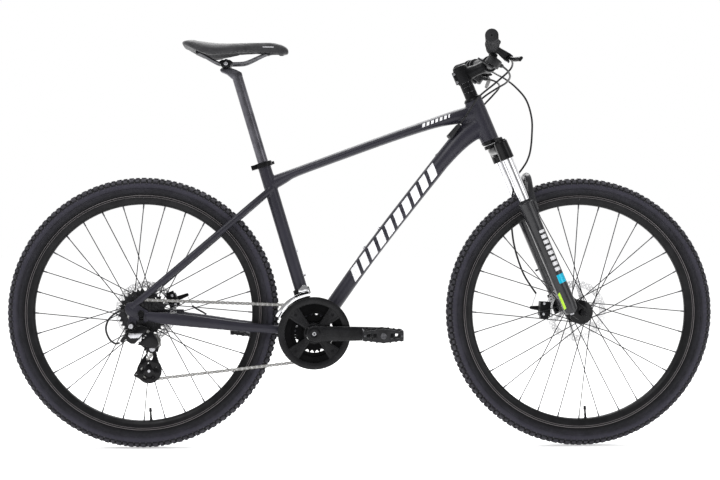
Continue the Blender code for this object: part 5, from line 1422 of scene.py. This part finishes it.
def make_cassette(pins):
    cogs = []
    for k, teeth in enumerate(COGS):
        y = CHAIN_Y + (k - COG_ON) * COG_STEP
        phase = gear_phase(pins, REAR_AXLE, teeth) if k == COG_ON else 0.3 * k
        root = pitch_radius(teeth) - 4.5
        holes = [circle(16.3, 32)]
        if root > 38:
            turns = [2 * pi * (j + 0.2 * k) / 10 for j in range(10)]
            holes += [circle(3.2, 16, (root - 8) * cos(t), (root - 8) * sin(t)) for t in turns]
        cogs.append(plate(toothed(teeth, phase), holes, -0.9, 0.9, REAR_AXLE + ACROSS * y))
    piece("cassette_cogs", cogs, "cog", "cassette_unit", ["cassette"])
    low = CHAIN_Y - COG_ON * COG_STEP
    spacers = [lathe([(y + 1, 16.4), (y + COG_STEP - 1, 16.4), (y + COG_STEP - 1, 18.6),
                      (y + 1, 18.6)],
                     REAR_AXLE, ACROSS, 32) for y in (low + COG_STEP * k
                                                      for k in range(len(COGS) - 1))]
    lockring = lathe([(low - 1.2, 15.7), (low - 1.2, 18.0), (low - 3.4, 17.6), (low - 3.4, 15.7)],
                     REAR_AXLE, ACROSS, 36)
    piece("cassette_spacers", [*spacers, lockring], "alloy", "cassette_unit", slot="steel")


def make_crankset(pins):
    body = "crankset"
    rings = []
    for (teeth, y), inner in zip(CHAINRINGS, (27, 50, 60)):
        phase = gear_phase(pins, BOTTOM_BRACKET, teeth) if teeth == RING_ON else 0.05 * teeth
        rings.append(plate(toothed(teeth, phase), [circle(inner, 60)], -1, 1,
                           BOTTOM_BRACKET + ACROSS * y))
    piece("chainring_plates", rings, "ring", body, ["chainrings"])
    spider = [lathe([(-56.5, 22.4), (-41, 22.4), (-41, 29), (-56.5, 29)], BOTTOM_BRACKET, ACROSS,
                    48)]
    bolts = []
    for k in range(4):
        t = pi / 4 + k * pi / 2
        out = around(t)
        second = out.cross(ACROSS)
        arm = folded([(24, -13), (40, -7.5), (52, -7), (61, -7)], (64, 0))
        spider.append(prism(arm, -55.2, -50.2, BOTTOM_BRACKET, out, second))
        at = BOTTOM_BRACKET + out * RING_BOLT_RADIUS
        bolts.append(lathe([(-59.2, 2.2), (-59.2, 4.6), (-58.4, 5.4), (-57.2, 5.4), (-57.2, 2.2)],
                           at, ACROSS, 24))
        bolts.append(rod(at - ACROSS * 58, at - ACROSS * 47.5, 4, sides=16))
    piece("chainring_spider", spider, "ring", body, bevel=0.8)
    piece("chainring_bolts", bolts, "steel", body)

    outline = circle(GUARD_RADIUS, 120)
    holes = [circle(21.5, 40)]
    ridges = []
    for k in range(4):
        start, end = pi / 4 + k * pi / 2, 3 * pi / 4 + k * pi / 2
        outer = [start + 0.242 + (end - start - 0.484) * i / 9 for i in range(10)]
        inner = [end - 0.29 - (end - start - 0.58) * i / 6 for i in range(7)]
        holes.append([(WINDOW_OUTER * cos(t), WINDOW_OUTER * sin(t)) for t in outer]
                     + [(WINDOW_INNER * cos(t), WINDOW_INNER * sin(t)) for t in inner])
        out = around(start)
        for s in (-1, 1):
            strip = [(28, s * 5.2), (74, s * 13.6), (74, s * 11.8), (28, s * 3.6)]
            ridges.append(prism(strip, GUARD_Y - 2.2, GUARD_Y - 1.0, BOTTOM_BRACKET, out,
                                out.cross(ACROSS)))
    guard = plate(outline, holes, -1.2, 1.2, BOTTOM_BRACKET + ACROSS * GUARD_Y)
    lip = lathe([(GUARD_Y - 2.4, 76.5), (GUARD_Y - 2.4, 91.3), (GUARD_Y - 1.4, 92.5),
                 (GUARD_Y - 1.0, 92.5), (GUARD_Y - 1.0, 76)], BOTTOM_BRACKET, ACROSS, 120)
    piece("chain_guard_disc", [guard, lip, *ridges], "guard", body, ["chain_guard"],
          slot="black_plastic", bevel=0.4)
    screws = []
    for k in range(4):
        t = pi / 4 + k * pi / 2
        at = BOTTOM_BRACKET + around(t) * GUARD_SCREW_RADIUS + ACROSS * (GUARD_Y - 1.2)
        screws.append(rod(at, at - ACROSS * 2.2, 3.6, sides=18, chamfer=0.6))
    piece("chain_guard_screws", screws, "alloy", body, slot="steel")

    spindle = rod(BOTTOM_BRACKET - ACROSS * 72, BOTTOM_BRACKET + ACROSS * 72, 8, sides=32)
    piece("crank_axle", spindle, "steel", body, ["crank_spindle"])
    cups = []
    for side in (-1, 1):
        profile = [(34.3, 8.6), (37, 8.6), (37, 18.6), (36.2, 20), (34.3, 20)]
        cups.append(lathe([(side * a, r) for a, r in profile], BOTTOM_BRACKET, ACROSS, 40))
    cups.append(lathe([(-34, 8.6), (34, 8.6), (34, 17), (-34, 17)], BOTTOM_BRACKET, ACROSS, 32))
    piece("bottom_bracket_cups", cups, "alloy", "frame_body", ["bottom_bracket"], bevel=0.4)
    for side in (-1, 1):
        make_crank(side)
        make_pedal(side)


def make_crank(side):
    word = HANDS[side]
    forward = Vector((-side, 0, 0))
    face = CRANK_FACE_Y + 6.5
    rows = [(-18, 9, 5.2), (-11, 16.8, 6.2), (0, 19.6, 6.6), (20, 19.4, 6.6), (60, 18.8, 6.4),
            (100, 18, 6.2), (130, 17.4, 6.2), (156, 16.6, 6.4), (170, 16.3, 6.4), (180, 12, 6.2),
            (185.4, 5.4, 5.4)]
    rings = []
    for reach, half, thick in rows:
        centre = BOTTOM_BRACKET + forward * reach + ACROSS * (side * face)
        ring = []
        for k in range(28):
            t = 2 * pi * (k + 0.5) / 28
            c, s = cos(t), sin(t)
            ring.append(centre + UP * (half * abs(c) ** 0.45 * (1 if c > 0 else -1))
                        + ACROSS * (thick * abs(s) ** 0.45 * (1 if s > 0 else -1)))
        rings.append(ring)
    arm = skin(rings)
    start, end = sorted((side * 40, side * (CRANK_FACE_Y + 13.4)))
    if side < 0:
        end = -38.5
    boss = rod(BOTTOM_BRACKET + ACROSS * start, BOTTOM_BRACKET + ACROSS * end, 20.2, sides=48,
               chamfer=2.0)
    eye = BOTTOM_BRACKET + forward * CRANK_LENGTH

    def from_face(out):
        return eye + ACROSS * side * (CRANK_FACE_Y + out)

    eye_boss = rod(from_face(0.4), from_face(13.2), 13.6, sides=40, chamfer=0.8)
    piece(f"crank_arm_{word}", [arm, boss, eye_boss], "guard", "crankset", [f"crank_{word}"],
          bevel=0.6)
    end_face = BOTTOM_BRACKET + ACROSS * (side * (CRANK_FACE_Y + 13.4))
    ring = lathe([(-0.4, 5.4), (-0.4, 16.2), (0.5, 15.8), (1.1, 13.4), (0.2, 5.4)], end_face,
                 ACROSS * side, 40)
    piece(f"crank_cap_{word}", ring, "gloss", "crankset", slot="black_plastic")
    head = lathe([(-1, 2.2), (-1, 5.0), (0.6, 5.0), (1.2, 4.4), (1.2, 2.6), (-0.2, 2.2)], end_face,
                 ACROSS * side, 28)
    piece(f"crank_bolt_{word}", head, "steel", "crankset")
    thread = rod(from_face(10), from_face(104), 5.4, sides=24)
    flats = rod(from_face(13.4), from_face(15.8), 9.2, sides=6)
    inside = rod(from_face(-0.6), from_face(1), 7, sides=24)
    piece(f"pedal_axle_{word}", [thread, flats, inside], "steel", "crankset", bevel=0.3)


def make_pedal(side):
    word = HANDS[side]
    body = f"{word}_pedal"
    eye = BOTTOM_BRACKET + Vector((-side * CRANK_LENGTH, 0, 0))
    near, far = CRANK_FACE_Y + 16, CRANK_FACE_Y + 108
    half = (far - near) / 2
    centre = eye + ACROSS * (side * (near + far) / 2)
    barrel = lathe([(near, 5.8), (near, 10.5), (near + 4, 12.5), (far - 6, 12.5), (far - 1, 10.5),
                    (far, 9.4), (far, 1.5), (far - 2, 1.5), (far - 2, 5.8)], eye, ACROSS * side, 36)
    top = mirrored([(0, 18.2), (6, 16.6), (14, 16), (17, 17.4), (20, 15), (28, 13.8), (31, 15.6),
                    (34, 13), (40, 12.2), (43, 13.8), (48, 12.5), (50, 8.5)])
    outline = top + [(x, -z) for x, z in reversed(top)]
    windows = [[(s * 17, -7), (s * 40, -5.5), (s * 42, 0), (s * 40, 5.5), (s * 17, 7)]
               for s in (-1, 1)]
    walls = [plate(outline, windows, y - 3.4, y + 3.4, centre) for y in (-half + 4, half - 4)]
    ribs = [block(centre + Vector((x, 0, 0)), (2.2, half - 6, 8)) for x in (-27, 27)]
    cross = [block(centre + ACROSS * (side * y), (27, 1.8, 7)) for y in (-half * 0.36, half * 0.36)]
    piece(f"pedal_core_{word}", [barrel, *walls, *ribs, *cross], "plastic", body,
          [f"pedal_{word}"], bevel=0.9)
    plates = []
    for x in (-48.6, 48.6):
        outline = []
        teeth = 9
        for k in range(teeth):
            a = -half + 4 + (2 * half - 8) * k / teeth
            step = (2 * half - 8) / teeth
            outline += [(a, 9.8), (a + step * 0.3, 13.2), (a + step * 0.7, 13.2), (a + step, 9.8)]
        lower = [(-a, -z) for a, z in outline[1:-1]]
        outline = [*outline, (half - 4, -9.8), *lower, (-half + 4, -9.8)]
        plates.append(prism(outline, -1.4, 1.4, centre + Vector((x, 0, 0)), ACROSS, UP))
    piece(f"pedal_cage_{word}", plates, "dark_steel", body, slot="black_plastic", bevel=0.4)
    caps = [rod(eye + ACROSS * side * (far - 1), eye + ACROSS * side * (far + 1.6), 7.6, sides=32,
                chamfer=0.8)]
    for y in (-half + 4, half - 4):
        for x in (-45.5, 45.5):
            at = centre + ACROSS * (side * (y + (3.4 if y > 0 else -3.4))) + Vector((x, 0, 0))
            out = ACROSS * (side * (1 if y > 0 else -1))
            caps.append(rod(at - out, at + out * 1.2, 2.6, sides=16, chamfer=0.4))
    piece(f"pedal_cap_{word}", caps, "dark_steel", body, slot="black_plastic")


# ---------------------------------------------------------------- derailleurs

def make_rear_derailleur(pins):
    main = rod(HANGER + ACROSS * -73.6, HANGER + ACROSS * -90, 10, 9.6, 40, 1.2)
    head = rod(HANGER + ACROSS * -90, HANGER + ACROSS * -93.5, 6.4, sides=32, chamfer=0.6)
    shoulder = prism([(-8, -6), (4, -9), (12, -12), (21, -20), (23, -26), (20, -33), (12, -33),
                      (2, -27), (-7, -20), (-11, -12)], -89.4, -75, HANGER)
    lug = block(Vector((-594, -84, 301)), (7, 6, 6))
    piece("rear_derailleur_body", [main, shoulder, lug], "forged", "frame_body",
          ["derailleur_body"], bevel=2.2, segments=3)
    piece("rear_derailleur_pivot_bolt", head, "steel", "frame_body")
    start, end = Vector((-596, -84, 298)), Vector((-612, -84, 276))
    out = (end - start).normalized()
    barrel = lathe([(0, 2.6), (0, 5.2), (6, 5.2), (7, 4.4), (10, 4.4), (11, 5.4), (22, 5.2),
                    (26, 4.4), (27, 2.6)],
                   start, out, 14)
    piece("rear_derailleur_adjuster", barrel, "plastic", "frame_body", bevel=0.3)

    link_pin, lower_pin = Vector((-567.5, -83, 282.5)), Vector((-541, -72, 258))
    along = (lower_pin - link_pin).normalized()
    flat = (ACROSS - along * along.y).normalized()
    third = along.cross(flat)
    middle = (link_pin + lower_pin) / 2 + along
    reach = (lower_pin - link_pin).length / 2 - 3.5
    sides = [block(middle + third * s * 5.4, (reach, 5, 1.6), along, flat) for s in (-1, 1)]
    face = block(middle - flat * 3.8, (reach * 0.96, 1.2, 7), along, flat)
    piece("rear_derailleur_link", [*sides, face], "forged", "rear_derailleur_link",
          ["derailleur_link"], bevel=0.8)
    shell = [(-597, 301), (-588, 304), (-577.5, 308), (-572, 317), (-562, 320), (-546, 313),
             (-542, 310), (-577, 272.5), (-586, 273), (-597, 280), (-600, 291)]
    piece("rear_derailleur_shell", prism(shell, -99, -90), "gloss", "frame_body", bevel=2.4,
          segments=3)
    shield = [(-535, 307), (-530, 300), (-519, 284), (-517, 270), (-524, 261), (-538, 262),
              (-556, 268), (-570, 270)]
    piece("rear_derailleur_cover", prism(shield, -99, -90), "gloss", "rear_derailleur_link",
          bevel=2.4, segments=3)
    label = [(-591, 299), (-556, 299.6), (-566, 287.6), (-587, 287), (-593, 292.6)]
    piece("rear_derailleur_shell_plate", prism(label, -99.8, -98.8), "steel", "frame_body",
          bevel=0.3)
    knuckle = rod(Vector((-536, -64.4, 258)), Vector((-536, -58.3, 258)), 12, sides=40, chamfer=1.2)
    heel = block(Vector((-530, -61.2, 259)), (9, 2.6, 9))
    piece("rear_derailleur_knuckle", [knuckle, heel], "forged", "rear_derailleur_knuckle",
          ["derailleur_knuckle"], bevel=0.8)
    cap = rod(Vector((-536, -64.2, 258)), Vector((-536, -65.6, 258)), 7.4, sides=32, chamfer=0.6)
    piece("rear_derailleur_knuckle_cap", cap, "steel", "rear_derailleur_knuckle")

    body = "rear_derailleur_cage"

    def placed(jockey, offsets):
        return [(jockey.x + a, jockey.z + b) for a, b in offsets]

    outer = (placed(UPPER_JOCKEY,
                    [(-9, 0), (-7, 6), (-2, 10), (5, 9.6), (10, 5), (11.6, -4), (12, -18),
                     (16, -36)])
             + placed(LOWER_JOCKEY, [(24, 22), (29.4, 13), (31.4, 3), (30.4, -9), (25.6, -19),
                                     (17, -27), (7, -31), (-4, -31.6), (-14, -28.6), (-22, -22),
                                     (-29, -17), (-37, -13.4), (-38, -9.6), (-36.4, -6), (-31.4, 1),
                                     (-28.6, 11), (-24, 20), (-15, 34)])
             + placed(UPPER_JOCKEY, [(-10.6, -26), (-9.6, -12)]))
    window = (placed(UPPER_JOCKEY, [(-4, -18), (5, -18), (6, -34)])
              + placed(LOWER_JOCKEY, [(7, 27), (-6, 27), (-8, 34)]))
    holes = [circle(4.6, 18, LOWER_JOCKEY.x + 17 * cos(t), LOWER_JOCKEY.z + 17 * sin(t))
             for t in (radians(20 + 72 * k) for k in range(5))]
    holes.append(circle(2.4, 12, LOWER_JOCKEY.x - 32, LOWER_JOCKEY.z - 9.4))
    plates = [plate(outer, [window, *holes], low, high)
              for low, high in ((-57.7, -56.1), (-42.4, -40.8))]
    piece("rear_derailleur_cage_plates", plates, "gloss", body, ["derailleur_cage"], bevel=0.3)
    pins_made = []
    for jockey in (UPPER_JOCKEY, LOWER_JOCKEY):
        pins_made.append(rod(jockey + ACROSS * -10.2, jockey + ACROSS * 9.4, 3.9, sides=20,
                             chamfer=0.5))
    piece("rear_derailleur_cage_bolts", pins_made, "steel", body)
    for name, jockey, wheel_body in (("upper", UPPER_JOCKEY, "guide_wheel"),
                                     ("lower", LOWER_JOCKEY, "tension_wheel")):
        phase = gear_phase(pins, jockey, JOCKEY_TEETH)
        holes = [circle(4.6, 24)]
        holes += [circle(1.9, 12, 11.2 * cos(t), 11.2 * sin(t))
                  for t in (2 * pi * k / 8 for k in range(8))]
        wheel = plate(toothed(JOCKEY_TEETH, phase, tip=2.4), holes, -1.15, 1.15, jockey)
        hub_ring = lathe([(-2.6, 4.6), (2.6, 4.6), (2.6, 7.4), (-2.6, 7.4)], jockey, ACROSS, 28)
        piece(f"jockey_wheel_{name}", [wheel, hub_ring], "plastic", wheel_body, [f"jockey_{name}"])


def make_front_derailleur():
    height = 108
    band = lathe([(-9, 17.3), (9, 17.3), (9, 20.8), (8.3, 21.5), (-8.3, 21.5), (-9, 20.8)],
                 seat(0, height), SEAT_UP, 48)
    arm = block(seat(6, height, -26), (13, 9, 8), SEAT_FORWARD, ACROSS)
    piece("front_derailleur_band", [band, arm], "forged", "frame_body", ["front_derailleur_clamp"],
          bevel=1.6, segments=3)
    screw = [rod(seat(12, height + 3, -34.6), seat(12, height + 3, -37), 3.4, sides=16,
                 chamfer=0.5),
             rod(seat(4, height - 3, -34.6), seat(4, height - 3, -36.4), 2.6, sides=16,
                 chamfer=0.4)]
    piece("front_derailleur_screws", screw, "steel", "frame_body")

    def curved(inner, outer, low, high, start, stop):
        return prism(sector(inner, outer, radians(start), radians(stop), 26), low, high,
                     BOTTOM_BRACKET)

    cage = [curved(96, 107.5, -57, -55.4, 96, 156), curved(88, 107.5, -42.4, -40.8, 96, 156),
            curved(102, 107.5, -57, -40.8, 98, 118), curved(97, 101, -57, -40.8, 146, 156)]
    rib = curved(100, 102, -58.0, -56.6, 99, 152)
    yoke = prism([(-39, 104), (-40, 110), (-33, 117), (-29, 122.5), (-23, 122.5), (-18, 116),
                  (-13, 112), (-13, 104)],
                 -44.8, -36.4, BOTTOM_BRACKET)
    piece("front_derailleur_guide", [*cage, rib, yoke], "chrome", "front_derailleur_mover",
          ["front_derailleur_cage"], slot="steel", bevel=0.4)


# ---------------------------------------------------------------- cables

ROUTES = {
    "front_brake_cable":
        [(348, 181, 992.5), (357, 150, 987), (366, 105, 974), (378, 62, 960), (402, 28, 934),
         (427, 6, 898), (440, -2, 850), (440.5, -2, 804), (437, 2, 765), (430, 10, 740),
         (420, 18, 722), (408, 26, 703), (399, 36, 670), (394, 42, 636), (393, 46, 600),
         (396, 53, 565), (402, 62, 528), (413, 70, 488), (430, 73, 444), (447, 71, 415),
         (463, 68, 391.5)],
    "rear_brake_cable":
        [(348, -181, 992.5), (362, -150, 989), (376, -100, 980), (372, -66, 966), (340, -48, 937),
         (298, -40, 902), (274, -33, 866), (260, -28.3, 845), (252, -25.7, 834.8)],
    "rear_shift_cable":
        [(344, -148, 968), (362, -120, 958), (372, -80, 948), (368, -36, 938), (350, 2, 928),
         (322, 32, 910), (295, 40, 885), (273, 33, 861), (260, 28.3, 845), (252, 25.7, 834.8)],
    "front_shift_cable":
        [(344, 148, 968), (365, 124, 957), (368, 94, 940), (348, 70, 916), (322, 56, 889),
         (296, 48, 860), (268, 42, 826), (243, 36, 799), (224.3, 28.2, 780.4)],
    "rear_brake_tail":
        [(-445, 80, 361), (-438, 79.3, 355.5), (-427, 76, 349.5), (-415, 68, 343.5),
         (-408, 60, 339.7)],
    "rear_shift_loop":
        [(-606, -76, 356), (-625, -80, 350), (-644, -83, 332), (-650, -84, 308), (-641, -84, 284),
         (-627, -84, 273), (-615.5, -84, 274.5)]}


def make_cables():
    for node, points in ROUTES.items():
        route = catmull([Vector(p) for p in points], 10)
        length = sum((b - a).length for a, b in zip(route, route[1:]))
        body = "frame_body" if node in ("rear_brake_tail", "rear_shift_loop") else None
        housing = piece(f"{node}_housing", tube(route, 2.5, 16), "housing", body, [node])
        if body is None:
            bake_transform(housing)


def make_brake_wires():
    """The bare wires between the ends of the housings and the brake arms' anchors."""
    rear, front = Vector((-493, 78, 376)), steer(-34.5, -519, 67)
    for end, hinge, reach, fixed in (("front", front, Vector((-32, 0, 2)), "fork_slider"),
                                     ("rear", rear, Vector((36, 0, 14)), "frame_body")):
        anchor = hinge + reach * ((reach.length - 2) / reach.length) + ACROSS * 4
        housing = Vector(ROUTES["front_brake_cable"][-1] if end == "front"
                         else ROUTES["rear_brake_tail"][0])
        wire = piece(f"{end}_brake_wire", tube([housing, (housing + anchor) / 2, anchor], 0.8, 8),
                     "steel", None, slot="cable_housing")
        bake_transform(wire)


# ---------------------------------------------------------------- the whole bike

make_stage()
make_cables()
make_wheels()
make_frame()
make_saddle()
make_fork()
make_brakes()
make_brake_wires()
make_skewers()
make_stem()
make_bar()
for hand in (-1, 1):
    make_grip(hand)
    make_brake_control(hand)
    make_shifter(hand)
chain_pins_placed = make_chain()
make_cassette(chain_pins_placed)
make_crankset(chain_pins_placed)
make_rear_derailleur(chain_pins_placed)
make_front_derailleur()
